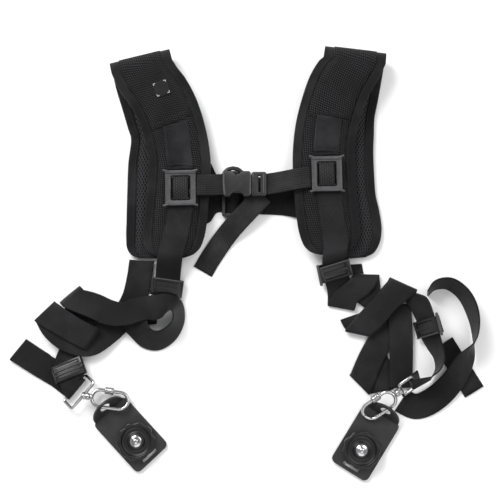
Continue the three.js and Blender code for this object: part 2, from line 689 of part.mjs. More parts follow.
function plateGeometry() {
  const slot = roundedRectangle(slotLength, slotWidth, 0.5 * slotWidth - 0.05, 3);
  slot.forEach((point) => point.setY(point.y - 0.5 * plateLength + slotInset));
  const screwHole = circle(screwRadius + fit, 16, 0, wheelAt);
  const plate = prism(roundedRectangle(plateWidth, plateLength, plateCorner, 3), plateThick,
    [slot.reverse(), screwHole.reverse()]);
  const edge = Array.from({ length: 15 }, (_, i) => {
    const angle = (Math.PI * i) / 14;
    return new THREE.Vector2(0.5 * lugWidth * Math.cos(angle), lugReach * Math.sin(angle));
  });
  const lug = prism(edge, lugThick, [circle(lugHoleRadius, 14, 0, lugHoleAt).reverse()]);
  lug.translate(0, 0, -0.5 * lugThick).rotateX(radians(lugLean)).translate(0, lugBase.y, lugBase.z);
  return toGeometry(toSolid(plate).add(toSolid(lug)));
}

function wheelGeometry() {
  const steps = 4 * wheelScallops;
  const outline = Array.from({ length: steps }, (_, i) => {
    const angle = (2 * Math.PI * i) / steps;
    const radius = wheelRadius - scallopDepth * (0.5 - 0.5 * Math.cos(wheelScallops * angle));
    return new THREE.Vector2(radius * Math.cos(angle), radius * Math.sin(angle));
  });
  const bore = circle(screwRadius + fit, 16).reverse();
  const base = toSolid(prism(outline, wheelFloor, [bore]));
  const rim = prism(outline, wheelHeight - wheelFloor + 0.5, [circle(wheelRecess, 32).reverse()]);
  const boss = prism(circle(wheelBoss, 20), wheelHeight - wheelFloor - 1, [bore]);
  return toGeometry(base
    .add(toSolid(rim.translate(0, 0, wheelFloor - 0.5)))
    .add(toSolid(boss.translate(0, 0, wheelFloor - 0.5))));
}

function screwGeometry() {
  const bossTop = plateThick + fit + wheelHeight - 1.5;
  const collar = [bossTop + fit, bossTop + fit + 1.2];
  const top = plateThick + fit + wheelHeight + screwReach;
  const profile = [
    [0, 0.4], [screwRadius, 0.4], [screwRadius, collar[0]], [screwHead, collar[0]], [screwHead, collar[1]],
    [screwRadius, collar[1]], [screwRadius, top - 0.8], [screwRadius - 0.8, top], [0, top],
  ].map(([r, h]) => new THREE.Vector2(r, h));
  return new THREE.LatheGeometry(profile, 16).rotateX(Math.PI / 2);
}

function addPlate(prefix, hole, turn) {
  const lengthwise = bearing(turn);
  const across = bearing(turn - 90);
  const origin = hole.clone().addScaledVector(lengthwise, -lugHole.y).setZ(0);
  const up = bearing(0, 90);
  const wheelOrigin = origin.clone().addScaledVector(lengthwise, wheelAt).setZ(plateThick + fit);
  placeIn(addPiece(`${prefix}_camera_plate`, plateGeometry(), plateRubber), across, up, origin);
  placeIn(addPiece(`${prefix}_thumb_wheel`, wheelGeometry(), plateRubber), across, up, wheelOrigin);
  placeIn(addPiece(`${prefix}_camera_screw`, screwGeometry(), chrome), across, up, wheelOrigin.setZ(0));
}

// One carrier: from the inner bar of the ring to the hook, and from the hook to the hole of the plate's lug.
// The lug holds its end of the hook at the height of its hole, so the hook's slope sets the other heights.
function addCarrier(prefix, { bar, turn, tilt, lean, hookTurn, slope, roll, side, limbShare, plateTurn }) {
  const along = hookStart + limbShare * hookLength;
  const axis = bearing(hookTurn, -slope);
  const level = bearing(hookTurn + 90 * side).multiplyScalar(Math.cos(radians(roll)));
  const rise = Math.sin(radians(roll));
  const sideways = level.addScaledVector(bearing(hookTurn, 90 - slope), rise);
  const swivelHeight = lugHole.z - along * axis.z - limbOffset * sideways.z;
  const leanFound = lean ?? THREE.MathUtils.radToDeg(Math.asin((swivelHeight - bar.z) / ringSpan));
  const origin = lean === undefined ? bar : bar.clone().setZ(swivelHeight);
  const ring = ringFrame({ origin, turn, tilt, lean: leanFound });
  const outer = ring.origin.clone().addScaledVector(ring.reach, ringSpan);
  const normal = axis.clone().cross(sideways).multiplyScalar(side);
  addRing(`${prefix}_ring`, ring, axis);
  addHook(prefix, { origin: outer, axis, normal, side });
  const hole = outer.clone().addScaledVector(axis, along).addScaledVector(sideways, limbOffset);
  addPlate(prefix, hole, plateTurn);
  return ring;
}

const slingPoint = (lay, x, y, z) => new THREE.Vector3(lay.x + x * slingReach, lay.y + y * slingReach, z);

const leftRing = addCarrier('left', {
  bar: slingPoint(leftSling, -0.36, -0.645, 0.5 * ringWire + webThick + 2 * fit + 0.4),
  turn: 50, tilt: 0, hookTurn: -8, slope: 4, roll: 8, side: -1, limbShare: 0.41, plateTurn: 133,
});
const rightRing = addCarrier('right', {
  bar: slingPoint(rightSling, 0.34, -0.6175, 0),
  turn: -55, tilt: -67, lean: 0, hookTurn: 215, slope: 16, roll: -16, side: 1, limbShare: 0.46, plateTurn: 58,
});

// Ends of the slings at the rings

const leftEndRows = [
  { x: -0.352, y: -0.345, lift: 1.2, turn: 14 },
  { x: -0.38, y: -0.43, lift: 1.2, turn: 17 },
  { x: -0.406, y: -0.512, lift: 2.2, turn: 22 },
  { x: -0.388, y: -0.559, lift: 3, turn: 22 },
  { x: -0.37, y: -0.606, lift: 3.8, turn: 22 },
];
const leftUnderRows = [
  { x: -0.44, y: -0.585, lift: 0.1, turn: 54 },
  { x: -0.54, y: -0.525, lift: 0.7, turn: 57 },
  { x: -0.64, y: -0.46, lift: 1, turn: 52, wide: 1.04, to: 0 },
  { x: -0.56, y: -0.51, lift: 0, turn: 57 },
  { x: -0.52, y: -0.535, lift: 0, turn: 57 },
];
const leftEndIn = stationsOf(leftEndRows, leftSling);
const leftEnd = [...leftEndIn, ...wrapStations(leftRing, 50, 0, 0), ...stationsOf(leftUnderRows, leftSling)];
addPiece('left_sling_ring_end', sweep(leftEnd, strapProfile(webThick)), webbing);
addLock('left_ring_lock', leftEndIn, 3 * spanSteps);

const rightCrossIn = stationsOf(rightCrossRows, rightSling);
const rightCross = [...rightCrossIn, ...wrapStations(rightRing, -55, 113, 9)];
addPiece('right_sling_cross', sweep(rightCross, strapProfile(webThick)), webbing);
addLock('right_ring_lock', rightCrossIn, 23);

// Chest strap, its side release buckle and the free end that hangs from the plug

const chestLay = {
  x: 0, y: 64, reach: 0.5 * padSpacing, width: chestWidth, pitch: padSurface, floor: 0.5 * webThick + 0.05,
};
// The chest straps run from the buckle, at share 0, to just beside the sliders, at share 1
const chestClear = 0.5 * sliderWidth + 0.8;
const chestEndLeft = (leftLay.x + sliderShares.left * padReach + chestClear) / chestLay.reach;
const chestEndRight = (rightLay.x + sliderShares.right * padReach - chestClear) / chestLay.reach;
// Their other ends stand just off the floors of the pockets in the buckle's two halves
const pocketDepth = 4;
const buckleX = -0.12 * chestLay.reach;
const pocketLeft = buckleX - 0.5 * buckleLength + pocketDepth - 0.8;
const pocketRight = buckleX + 0.5 * buckleLength + fit + plugLength - pocketDepth + 0.4;
const chestStart = { left: pocketLeft / chestLay.reach, right: pocketRight / chestLay.reach };
const leftOf = (share) => chestStart.left + share * (chestEndLeft - chestStart.left);
const rightOf = (share) => chestStart.right + share * (chestEndRight - chestStart.right);
const chestLeftRows = [
  { x: leftOf(1), y: -0.018, lift: 1.1, turn: 90 },
  { x: leftOf(0.743), y: -0.016, lift: 1.04, turn: 90 },
  { x: leftOf(0.446), y: -0.012, lift: 0.91, turn: 90 },
  { x: leftOf(0.186), y: -0.006, lift: 0.87, turn: 90 },
  { x: leftOf(0), y: -0.005, lift: 0.87, turn: 90 },
];
const chestRightRows = [
  { x: rightOf(0), y: -0.004, lift: 0.87, turn: 91 },
  { x: rightOf(0.118), y: 0, lift: 0.87, turn: 93 },
  { x: rightOf(0.415), y: 0.02, lift: 0.9, turn: 95 },
  { x: rightOf(0.711), y: 0.042, lift: 1.03, turn: 94 },
  { x: rightOf(1), y: 0.055, lift: 1.1, turn: 92 },
];
const chestTailRows = [
  { x: 0.12, y: -0.095, lift: 0.6, turn: -45 },
  { x: 0.035, y: -0.185, lift: 0.55, turn: -45 },
  { x: -0.06, y: -0.285, lift: 0.47, turn: -45 },
  { x: -0.15, y: -0.38, lift: 0.3, turn: -43 },
  { x: -0.23, y: -0.475, lift: 0.08, turn: -40 },
  { x: -0.361, y: -0.667, lift: 0, turn: -35 },
  { x: -0.437, y: -0.795, lift: 0, turn: -30 },
];
layStrap('chest_strap_left', chestLeftRows, chestLay, grosgrain);
layStrap('chest_strap_right', chestRightRows, chestLay, grosgrain);
layStrap('chest_strap_tail', chestTailRows, chestLay, grosgrain);

function block(length, width, height, x = 0, y = 0, z = 0) {
  return toSolid(new THREE.BoxGeometry(length, width, height).translate(x, y, z));
}

const tongueLength = 0.75 * buckleLength;
const tongueWidth = chestWidth - 3;
const tongueThick = 0.5 * buckleThick;

function bodyGeometry() {
  const half = 0.5 * buckleLength;
  const outline = roundedRectangle(buckleLength, buckleWidth, 3, 3);
  const shell = toSolid(prism(outline, buckleThick).translate(0, 0, -0.5 * buckleThick));
  const cavityMiddle = half - 0.5 * tongueLength;
  const cavity = block(tongueLength + 1, tongueWidth + 2 * fit, tongueThick + 2 * fit, cavityMiddle);
  const pocket = block(2 * pocketDepth, chestWidth + 2 * fit, webThick + 2 * fit, -half);
  const notch = [[-6, 1], [6, 1], [0, -5]].map(([x, y]) => new THREE.Vector2(x, 0.5 * buckleWidth + y));
  const upper = toSolid(prism(notch, 2 * buckleThick).translate(0, 0, -buckleThick));
  const bay = new THREE.CylinderGeometry(8, 8, 2 * buckleThick, 24).rotateX(Math.PI / 2);
  const lower = toSolid(bay.translate(0, -0.5 * buckleWidth - 3.5, 0));
  return toGeometry(shell.subtract(cavity).subtract(pocket).subtract(upper).subtract(lower));
}

function plugGeometry() {
  const half = 0.5 * plugLength;
  const base = toSolid(prism(roundedRectangle(plugLength, chestWidth + 3, 2, 2), 7).translate(0, 0, -3.5));
  const tongue = block(tongueLength, tongueWidth, tongueThick, -half - 0.5 * tongueLength + 1);
  const pocket = block(2 * pocketDepth, chestWidth + 2 * fit, webThick + 2 * fit, half);
  const slot = block(2, chestWidth - 4, 2 * buckleThick, 0.5);
  return toGeometry(base.add(tongue).subtract(pocket).subtract(slot));
}

const buckleMiddle = new THREE.Vector3(buckleX, chestLay.y - 0.5, 0);
buckleMiddle.z = chestLay.floor + 0.87 * chestLay.pitch;
const plugMiddle = buckleMiddle.clone().setX(buckleMiddle.x + 0.5 * (buckleLength + plugLength) + fit);
placeIn(addPiece('chest_buckle_body', bodyGeometry(), plastic), bearing(0), bearing(0, 90), buckleMiddle);
placeIn(addPiece('chest_buckle_plug', plugGeometry(), plastic), bearing(0), bearing(0, 90), plugMiddle);

// Rear strap on the table, its adjuster and the sewn patch

const rearLay = { ...chestLay, y: 56, width: rearWidth, pitch: padFloor };
const rearRows = [
  { x: -0.556, y: 0.023, lift: 0.83, turn: 90, wide: 1.7 },
  { x: -0.45, y: 0.023, lift: 0.6, turn: 90, wide: 1.72 },
  { x: -0.37, y: 0.02, lift: 0.3, turn: 90, wide: 1.6 },
  { x: -0.31, y: 0.008, lift: 0.05, turn: 90, wide: 1.03 },
  { x: -0.223, y: 0, lift: 0, turn: 90 },
  { x: -0.166, y: 0, lift: 1.24, turn: 90 },
  { x: -0.144, y: 0, lift: 1.27, turn: 90 },
  { x: -0.122, y: 0, lift: 1.24, turn: 90 },
  { x: -0.065, y: -0.002, lift: 0, turn: 90 },
  { x: 0.065, y: -0.01, lift: 0, turn: 90 },
  { x: 0.3, y: -0.02, lift: 0, turn: 90 },
  { x: 0.42, y: -0.025, lift: 0.3, turn: 90, wide: 1.1 },
  { x: 0.5, y: -0.03, lift: 0.65, turn: 90, wide: 1.15 },
  { x: 0.572, y: -0.03, lift: 0.83, turn: 90, wide: 1.15 },
];
layStrap('rear_strap', rearRows, rearLay, grosgrain);

const adjusterBar = 3.2;
const adjusterWindow = 0.5 * (adjusterWidth - 3 * adjusterBar);
const windowShift = 0.5 * (adjusterBar + adjusterWindow);
const windowOutline = roundedRectangle(adjusterWindow, rearWidth + 3, 1, 1).reverse();
const shifted = (side) => windowOutline.map((p) => new THREE.Vector2(p.x + side * windowShift, p.y));
const adjusterOutline = roundedRectangle(adjusterWidth, adjusterLength, 3, 3);
const adjuster = prism(adjusterOutline, adjusterThick, [shifted(-1), shifted(1)]);
const adjusterPlace = new THREE.Vector3(-0.144 * rearLay.reach, rearLay.y, webThick + 2 * fit);
placeIn(addPiece('rear_strap_adjuster', adjuster, plastic), bearing(0), bearing(0, 90), adjusterPlace);

const patchLay = { ...leftLay, width: patchSize, floor: padThick + 2 * fit + 0.5 * patchThick };
const patchRows = [
  { x: 0.094, y: -0.157, lift: 1.93, turn: 20 },
  { x: 0.106, y: -0.191, lift: 1.84, turn: 20 },
  { x: 0.119, y: -0.225, lift: 1.73, turn: 20 },
];
addPiece('left_pad_patch', sweep(stationsOf(patchRows, patchLay), strapProfile(patchThick)), patchCloth);

const bounds = new THREE.Box3().setFromObject(harness);
const middle = bounds.getCenter(new THREE.Vector3());
harness.position.set(-middle.x, -middle.y, -bounds.min.z);

export default harness;
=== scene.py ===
# Two camera harness laid flat: folded shoulder pads, chest and rear straps, long webbing slings, snap hooks and
# camera plates. Shapes are worked out in millimetres from the same rows as the solids, then put in metres.
import math
import bmesh
import bpy
import numpy as np
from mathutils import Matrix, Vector


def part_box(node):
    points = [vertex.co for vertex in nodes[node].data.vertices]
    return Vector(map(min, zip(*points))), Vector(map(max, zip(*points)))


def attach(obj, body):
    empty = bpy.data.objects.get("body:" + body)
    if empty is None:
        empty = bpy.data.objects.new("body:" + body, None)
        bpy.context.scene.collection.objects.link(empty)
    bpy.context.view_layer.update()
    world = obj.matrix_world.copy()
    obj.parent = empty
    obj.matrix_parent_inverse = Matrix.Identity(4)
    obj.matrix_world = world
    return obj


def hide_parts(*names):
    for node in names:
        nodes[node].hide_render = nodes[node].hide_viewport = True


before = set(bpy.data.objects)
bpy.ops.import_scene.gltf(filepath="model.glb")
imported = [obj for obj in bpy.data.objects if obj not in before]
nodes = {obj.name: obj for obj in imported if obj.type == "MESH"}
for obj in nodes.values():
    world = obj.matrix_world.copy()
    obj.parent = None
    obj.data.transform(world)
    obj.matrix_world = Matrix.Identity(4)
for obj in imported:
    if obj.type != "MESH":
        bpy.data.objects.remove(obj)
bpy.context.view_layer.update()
print("frame loaded:", len(nodes), "solids")

# sizes in millimetres, as in the solids
sizes = dict(
    padWidth=62, padThick=9, padEdge=3, padReach=207, padGap=0.7, webWidth=25, webThick=1.4, webGap=0.9,
    slingReach=200, chestWidth=21, rearWidth=38, fit=0.3, ringWire=3, ringDepth=17, ringLength=36, hookWire=3.5,
    hookLength=39, hookWidth=20, barrelLength=6.5,
)
padFloor = sizes["padThick"] / 2
padPitch = sizes["padThick"] + sizes["padGap"]
padSurface = 2 * padFloor + padPitch + sizes["fit"] + sizes["webThick"] / 2
webFloor = sizes["webThick"] / 2 + 0.05
leftLay = dict(x=-110, y=198, reach=sizes["padReach"], width=sizes["padWidth"], pitch=padPitch, floor=padFloor)
rightLay = dict(leftLay, x=106, y=205.5)
leftSling = dict(x=-100, y=-8, reach=sizes["slingReach"], width=sizes["webWidth"],
                 pitch=sizes["webThick"] + sizes["webGap"], floor=webFloor)
rightSling = dict(leftSling, x=90)
chestLay = dict(x=0, y=64, reach=108, width=sizes["chestWidth"], pitch=padSurface, floor=webFloor)
rearLay = dict(chestLay, y=56, width=sizes["rearWidth"], pitch=padFloor)
patchLay = dict(leftLay, width=15, floor=sizes["padThick"] + 2 * sizes["fit"] + 0.4)

# the adjuster lies flat and unturned, so its box gives the shift from the drawing to the row's own origin
lowCorner, highCorner = (np.array(c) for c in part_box("rear_strap_adjuster"))
drawingShift = (lowCorner + highCorner) / 2 * 1000 - np.array([-0.144 * 108, 56, sizes["webThick"] + 0.6 + 1.7])


def toMetres(points):
    # millimetres of the drawing to metres of the frame: (point + shift) / 1000
    return (np.asarray(points, float) + drawingShift) * 0.001


def row(x, y, lift, turn, tilt=0, wide=1, thick=1, to=None):
    # one section of a run; to is the layer that the run folds over to
    return dict(x=x, y=y, lift=lift, turn=turn, tilt=tilt, wide=wide, thick=thick, to=to)


# middle of each section as shares of the reach, layers above the table, and the angles of the line across
lies = dict(
    leftPadRows=[
        row(0.06, -1.0, 0, 0, wide=0.42, thick=0.5), row(0.063, -0.985, 0, 0, wide=0.66, thick=0.7),
        row(0.07, -0.955, 0, 0, wide=0.86, thick=0.95), row(0.08, -0.9, 0, 0, wide=0.97), row(0.085, -0.82, 0, 0),
        row(0.087, -0.67, 0, 0), row(0.09, -0.53, 0, 3), row(0.1, -0.39, 0, 9), row(0.08, -0.32, 0, 16),
        row(0.05, -0.22, 0, 17), row(0.022, -0.13, 0, 15), row(0.01, -0.08, 0, 14, to=1.95),
        row(0.042, -0.14, 1.95, 22), row(0.086, -0.2, 1.8, 25), row(0.13, -0.28, 1.5, 21),
        row(0.167, -0.39, 1.15, 13), row(0.192, -0.53, 1, 3), row(0.185, -0.7, 1, -3), row(0.176, -0.82, 1, -3),
        row(0.167, -0.9, 1, -3, wide=0.97), row(0.16, -0.955, 1, -3, wide=0.86, thick=0.95),
        row(0.155, -0.985, 1, -3, wide=0.66, thick=0.7), row(0.153, -1.0, 1, -3, wide=0.42, thick=0.5),
    ],
    rightPadRows=[
        row(-0.02, -1.035, 0, 4, wide=0.42, thick=0.5), row(-0.02, -1.02, 0, 4, wide=0.66, thick=0.7),
        row(-0.02, -0.985, 0, 6, wide=0.86, thick=0.95), row(-0.023, -0.92, 0, 7, wide=0.98),
        row(-0.035, -0.83, 0, 8), row(-0.053, -0.74, 0, 5), row(-0.06, -0.62, 0, 2), row(-0.062, -0.52, 0, -1),
        row(-0.058, -0.42, 0, -4), row(-0.053, -0.33, 0, -8), row(-0.035, -0.24, 0, -9), row(-0.018, -0.15, 0, -8),
        row(-0.006, -0.085, 0, -7, to=1.95), row(-0.042, -0.14, 1.95, -18), row(-0.082, -0.21, 1.8, -19),
        row(-0.118, -0.31, 1.45, -15), row(-0.145, -0.42, 1.15, -8), row(-0.157, -0.55, 1, -1),
        row(-0.152, -0.69, 1, 3), row(-0.142, -0.82, 1, 6), row(-0.13, -0.91, 1, 9, wide=0.97),
        row(-0.12, -0.97, 1, 9, wide=0.86, thick=0.95), row(-0.115, -1.0, 1, 9, wide=0.66, thick=0.7),
        row(-0.113, -1.015, 1, 9, wide=0.42, thick=0.5),
    ],
    leftPadWebbing=[
        row(0.172, -0.358, 1.14, 14), row(0.182, -0.42, 1.065, 9), row(0.189, -0.5, 1.02, 4),
        row(0.198, -0.57, 1, 0), row(0.2, -0.7, 1, -1),
    ],
    rightPadWebbing=[
        row(-0.129, -0.362, 1.19, -11), row(-0.139, -0.43, 1.085, -7), row(-0.145, -0.5, 1.03, -3),
        row(-0.146, -0.54, 1.01, 0), row(-0.145, -0.68, 1, 1),
    ],
    leftSlingFront=[
        row(0.163, 0.3, 1, -1), row(0.155, 0.22, 1, -2), row(0.14, 0.13, 1, -5), row(0.12, 0.05, 1, -8),
        row(0.107, 0, 0.93, -8), row(0.1, -0.045, 0.67, -8), row(0.094, -0.09, 0.4, -8),
        row(0.088, -0.15, 0.24, -8), row(0.083, -0.2, 0.14, -6), row(0.08, -0.23, 0.06, -4),
    ],
    rightSlingFront=[
        row(-0.065, 0.36, 1, 2), row(-0.056, 0.27, 1, 3), row(-0.045, 0.17, 1.01, 5), row(-0.028, 0.06, 1.01, 10),
        row(-0.034, 0, 0.92, 14), row(-0.034, -0.045, 0.63, 17), row(-0.024, -0.09, 0.38, 17),
        row(-0.01, -0.135, 0.18, 14), row(-0.002, -0.19, 0.08, 0), row(0.003, -0.245, 0.04, -10, wide=1.1, to=0.15),
        row(0.025, -0.2, 0.2, -22, tilt=-3), row(0.1, -0.14, 0.165, -27, tilt=-10),
        row(0.127, -0.092, 0.155, -2, wide=1.08, to=0.055), row(0.137, -0.15, 0.055, -12),
        row(0.134, -0.21, 0.055, -24), row(0.133, -0.258, 0.055, -34),
    ],
    leftSlingCurl=[
        row(0.04, -0.27, 2, -90), row(-0.03, -0.275, 2, -90), row(-0.11, -0.29, 2, -95, to=3.2),
        row(-0.055, -0.345, 2, -135, tilt=-20), row(-0.01, -0.4, 0.3, -112, tilt=-35),
        row(0.045, -0.415, 0, -85, tilt=-43), row(0.11, -0.38, 0, -45, tilt=-55),
        row(0.148, -0.315, 0, 0, tilt=-65), row(0.14, -0.25, 1.8, 35, tilt=-58),
        row(0.085, -0.245, 5, 75, tilt=-12), row(0.025, -0.255, 6.2, 95), row(-0.05, -0.265, 6.4, 122, wide=0.96),
        row(-0.11, -0.285, 6.4, 93, wide=0.9), row(-0.185, -0.28, 6.3, 70), row(-0.265, -0.245, 6.2, 63),
        row(-0.37, -0.208, 6.2, 41, wide=1.03, to=1.2), row(-0.342, -0.28, 1.2, 14, wide=1.15),
        row(-0.32, -0.335, 1.2, -10, wide=1.3),
    ],
    leftSlingRear=[
        row(-0.27, -0.41, 4.9, 236), row(-0.37, -0.36, 5, 236), row(-0.505, -0.275, 5, 224, wide=1.1, to=3.9),
        row(-0.45, -0.37, 3.9, 209), row(-0.39, -0.41, 4.1, 234), row(-0.29, -0.43, 3.4, 278),
        row(-0.19, -0.36, 1.6, 306), row(-0.12, -0.28, 0.1, 332), row(-0.075, -0.2, 0.1, 348),
        row(-0.05, -0.1, 0.8, 352), row(-0.038, -0.015, 1.6, 356),
    ],
    rightCrossRows=[
        row(0.055, -0.29, 1.5, 19), row(0.085, -0.37, 1.5, -11, wide=1.04, to=3.4), row(0.16, -0.295, 3.6, -41),
        row(0.24, -0.205, 4.6, -40), row(0.3, -0.15, 5.6, -24, wide=1.2, to=2.8), row(0.37, -0.22, 2.4, 6, tilt=36),
        row(0.41, -0.31, 2.4, 15, tilt=52), row(0.432, -0.39, 2.2, 15, tilt=52), row(0.457, -0.45, 1, 4, tilt=62),
        row(0.475, -0.5, 0.4, -5, tilt=74), row(0.468, -0.555, 0.4, -24, tilt=86),
        row(0.43, -0.6, 1.2, -49, tilt=98),
    ],
    rightSlingDrop=[
        row(0.29, -0.23, 1.8, -4, wide=0.92), row(0.293, -0.32, 1.8, -2, wide=0.94),
        row(0.295, -0.435, 1.8, 0, wide=0.94), row(0.293, -0.57, 1.2, 1, wide=0.92),
        row(0.292, -0.61, 0.9, 2, wide=0.9), row(0.29, -0.645, 0.7, 2, wide=0.88),
    ],
    rightSlingFold=[
        row(0.266, -0.31, 0.7, -20), row(0.22, -0.38, 0.7, -29), row(0.155, -0.485, 0.85, -31),
        row(0.093, -0.625, 0.9, -46, wide=1.1, to=0), row(0.175, -0.6, 0, -62, wide=1.12),
        row(0.215, -0.578, 0, -66, wide=1.35), row(0.25, -0.543, 0, -70, wide=1.42),
    ],
    rightSlingLoop=[
        row(0.295, -0.705, 0, 57), row(0.36, -0.735, 0, 86), row(0.43, -0.715, 0.3, 120),
        row(0.525, -0.635, 1.1, 143, tilt=12), row(0.61, -0.5, 1.4, 156, tilt=42),
        row(0.648, -0.42, 0.8, 168, tilt=84), row(0.65, -0.3, 0, 185, tilt=106),
        row(0.605, -0.19, 0, 213, tilt=112), row(0.53, -0.135, 0, 250, tilt=112),
        row(0.46, -0.145, 0, 285, tilt=108), row(0.425, -0.185, 0, 320, tilt=100),
    ],
    rightSlingTail=[
        row(0.505, -0.425, 1.6, 34, wide=0.85), row(0.545, -0.485, 0.2, 34, wide=0.85),
        row(0.595, -0.565, 0, 33, wide=0.85), row(0.655, -0.665, 0, 31, wide=0.87),
    ],
    rightSlingRear=[
        row(0.045, -0.035, 0.7, 4), row(0.05, -0.06, 0.1, 2), row(0.054, -0.08, 0, 1),
    ],
    leftEndRows=[
        row(-0.352, -0.345, 1.2, 14), row(-0.38, -0.43, 1.2, 17), row(-0.406, -0.512, 2.2, 22),
        row(-0.388, -0.559, 3, 22), row(-0.37, -0.606, 3.8, 22),
    ],
    leftUnderRows=[
        row(-0.44, -0.585, 0.1, 54), row(-0.54, -0.525, 0.7, 57), row(-0.64, -0.46, 1, 52, wide=1.04, to=0),
        row(-0.56, -0.51, 0, 57), row(-0.52, -0.535, 0, 57),
    ],
    chestStrapLeft=[
        row(-0.489, -0.018, 1.1, 90), row(-0.42, -0.016, 1.04, 90), row(-0.34, -0.012, 0.91, 90),
        row(-0.27, -0.006, 0.87, 90), row(-0.22, -0.005, 0.87, 90),
    ],
    chestStrapRight=[
        row(0.118, -0.004, 0.87, 91), row(0.17, 0, 0.87, 93), row(0.3, 0.02, 0.9, 95), row(0.43, 0.042, 1.03, 94),
        row(0.557, 0.055, 1.1, 92),
    ],
    chestStrapTail=[
        row(0.12, -0.095, 0.6, -45), row(0.035, -0.185, 0.55, -45), row(-0.06, -0.285, 0.47, -45),
        row(-0.15, -0.38, 0.3, -43), row(-0.23, -0.475, 0.08, -40), row(-0.361, -0.667, 0, -35),
        row(-0.437, -0.795, 0, -30),
    ],
    rearStrap=[
        row(-0.556, 0.023, 0.83, 90, wide=1.7), row(-0.45, 0.023, 0.6, 90, wide=1.72),
        row(-0.37, 0.02, 0.3, 90, wide=1.6), row(-0.31, 0.008, 0.05, 90, wide=1.03), row(-0.223, 0, 0, 90),
        row(-0.166, 0, 1.24, 90), row(-0.144, 0, 1.27, 90), row(-0.122, 0, 1.24, 90), row(-0.065, -0.002, 0, 90),
        row(0.065, -0.01, 0, 90), row(0.3, -0.02, 0, 90), row(0.42, -0.025, 0.3, 90, wide=1.1),
        row(0.5, -0.03, 0.65, 90, wide=1.15), row(0.572, -0.03, 0.83, 90, wide=1.15),
    ],
    patchRows=[
        row(0.094, -0.157, 1.93, 20), row(0.106, -0.191, 1.84, 20), row(0.119, -0.225, 1.73, 20),
    ],
)


def across(turn, tilt=0):
    # Unit line across a strap: turned in plan by turn, leaning up by tilt, both in degrees.
    turn, tilt = np.radians(turn), np.radians(tilt)
    return np.stack([np.cos(tilt) * np.cos(turn), np.cos(tilt) * np.sin(turn), np.sin(tilt) + 0 * turn], -1)


def throughPoints(values, steps):
    # centripetal curve through the rows of values; the first three columns are the place
    values = np.asarray(values, float)
    padded = np.vstack([2 * values[0] - values[1], values, 2 * values[-1] - values[-2]])
    out = []
    for i in range(len(values) - 1):
        a, b, c, d = padded[i:i + 4]
        gap = [max(np.linalg.norm(q[:3] - p[:3]) ** 0.5, 1e-3) for p, q in ((a, b), (b, c), (c, d))]
        t1 = ((b - a) / gap[0] - (c - a) / (gap[0] + gap[1]) + (c - b) / gap[1]) * gap[1]
        t2 = ((c - b) / gap[1] - (d - b) / (gap[1] + gap[2]) + (d - c) / gap[2]) * gap[1]
        t = np.arange(steps)[:, None] / steps
        out.append(b + t1 * t + (3 * (c - b) - 2 * t1 - t2) * t ** 2 + (2 * (b - c) + t1 + t2) * t ** 3)
    return np.vstack(out + [values[-1:]])


def stationsOf(rows, lay, steps=6, foldSteps=12):
    # Columns x, y, z, turn, tilt, half width, thickness share: a curve through each stretch between folds, and a
    # half circle from one layer to the next at each fold.
    parts, stretch = [], []
    for r in rows:
        half = lay["width"] * r["wide"] / 2
        rise = abs(math.sin(math.radians(r["tilt"]))) * half + lay["floor"]
        place = [lay["x"] + r["x"] * lay["reach"], lay["y"] + r["y"] * lay["reach"]]
        rest = [r["turn"], r["tilt"], half, r["thick"]]
        stretch.append(place + [rise + r["lift"] * lay["pitch"]] + rest)
        if r["to"] is not None:
            parts.append(np.array(stretch))
            stretch = [place + [rise + r["to"] * lay["pitch"]] + rest]
    parts.append(np.array(stretch))
    out = [throughPoints(parts[0], steps)]
    for before, after in zip(parts, parts[1:]):
        start, end = before[-1], after[0]
        travel = (start[:3] - before[-2][:3]) * [1, 1, 0]
        along = across(start[3], 0)
        outward = travel - along * (travel @ along)
        outward /= np.linalg.norm(outward)
        radius = (end[2] - start[2]) / 2
        angle = np.pi * np.arange(1, foldSteps)[:, None] / foldSteps
        bend = np.repeat(start[None], foldSteps - 1, 0)
        bend[:, :3] += outward * abs(radius) * np.sin(angle)
        bend[:, 2] += (radius * (1 - np.cos(angle)))[:, 0]
        out += [bend, throughPoints(after, steps)]
    stations = np.vstack(out)
    stations[:, 2] = np.maximum(stations[:, 2], lay["floor"])
    return stations


def frames(stations):
    # middle, line across and normal of each section, and the length run so far
    middle = stations[:, :3]
    u = across(stations[:, 3], stations[:, 4])
    step = np.diff(middle, axis=0)
    length = np.linalg.norm(step, axis=1)
    way = step / np.maximum(length, 1e-6)[:, None]
    way = np.vstack([way[:1], way[:-1] + way[1:], way[-1:]])
    n = np.cross(way, u)
    n /= np.linalg.norm(n, axis=1)[:, None]
    return middle, u, n, np.concatenate([[0], np.cumsum(length)])


def carried(values, length, at):
    # values of the sections, read off at lengths along the path
    return np.stack([np.interp(at, length, values[:, k]) for k in range(3)], -1)


def circled(middles, widths, side, up, sides):
    # round rings: middle + width * (cos * side + sin * up), for angles all round
    angle = 2 * np.pi * np.arange(sides) / sides
    ways = np.cos(angle)[:, None] * side[..., None, :] + np.sin(angle)[:, None] * up[..., None, :]
    return middles[..., None, :] + widths * ways


def linked(name, data):
    # object of the data, linked to the scene
    piece = bpy.data.objects.new(name, data)
    bpy.context.scene.collection.objects.link(piece)
    return piece


def meshPiece(name, points, faces):
    # smooth piece from points in metres
    mesh = bpy.data.meshes.new(name)
    mesh.from_pydata(np.asarray(points).tolist(), [], faces)
    mesh.polygons.foreach_set("use_smooth", np.ones(len(mesh.polygons), bool))
    return linked(name, mesh)


def gridQuads(count, sides, spans):
    # corners of each face between rings, as indexes of the rings' points
    i, j = np.meshgrid(np.arange(spans), np.arange(sides), indexing="ij")
    nextI, nextJ = (i + 1) % count, (j + 1) % sides
    return np.stack([i * sides + j, nextI * sides + j, nextI * sides + nextJ, i * sides + nextJ], -1).reshape(-1, 4)


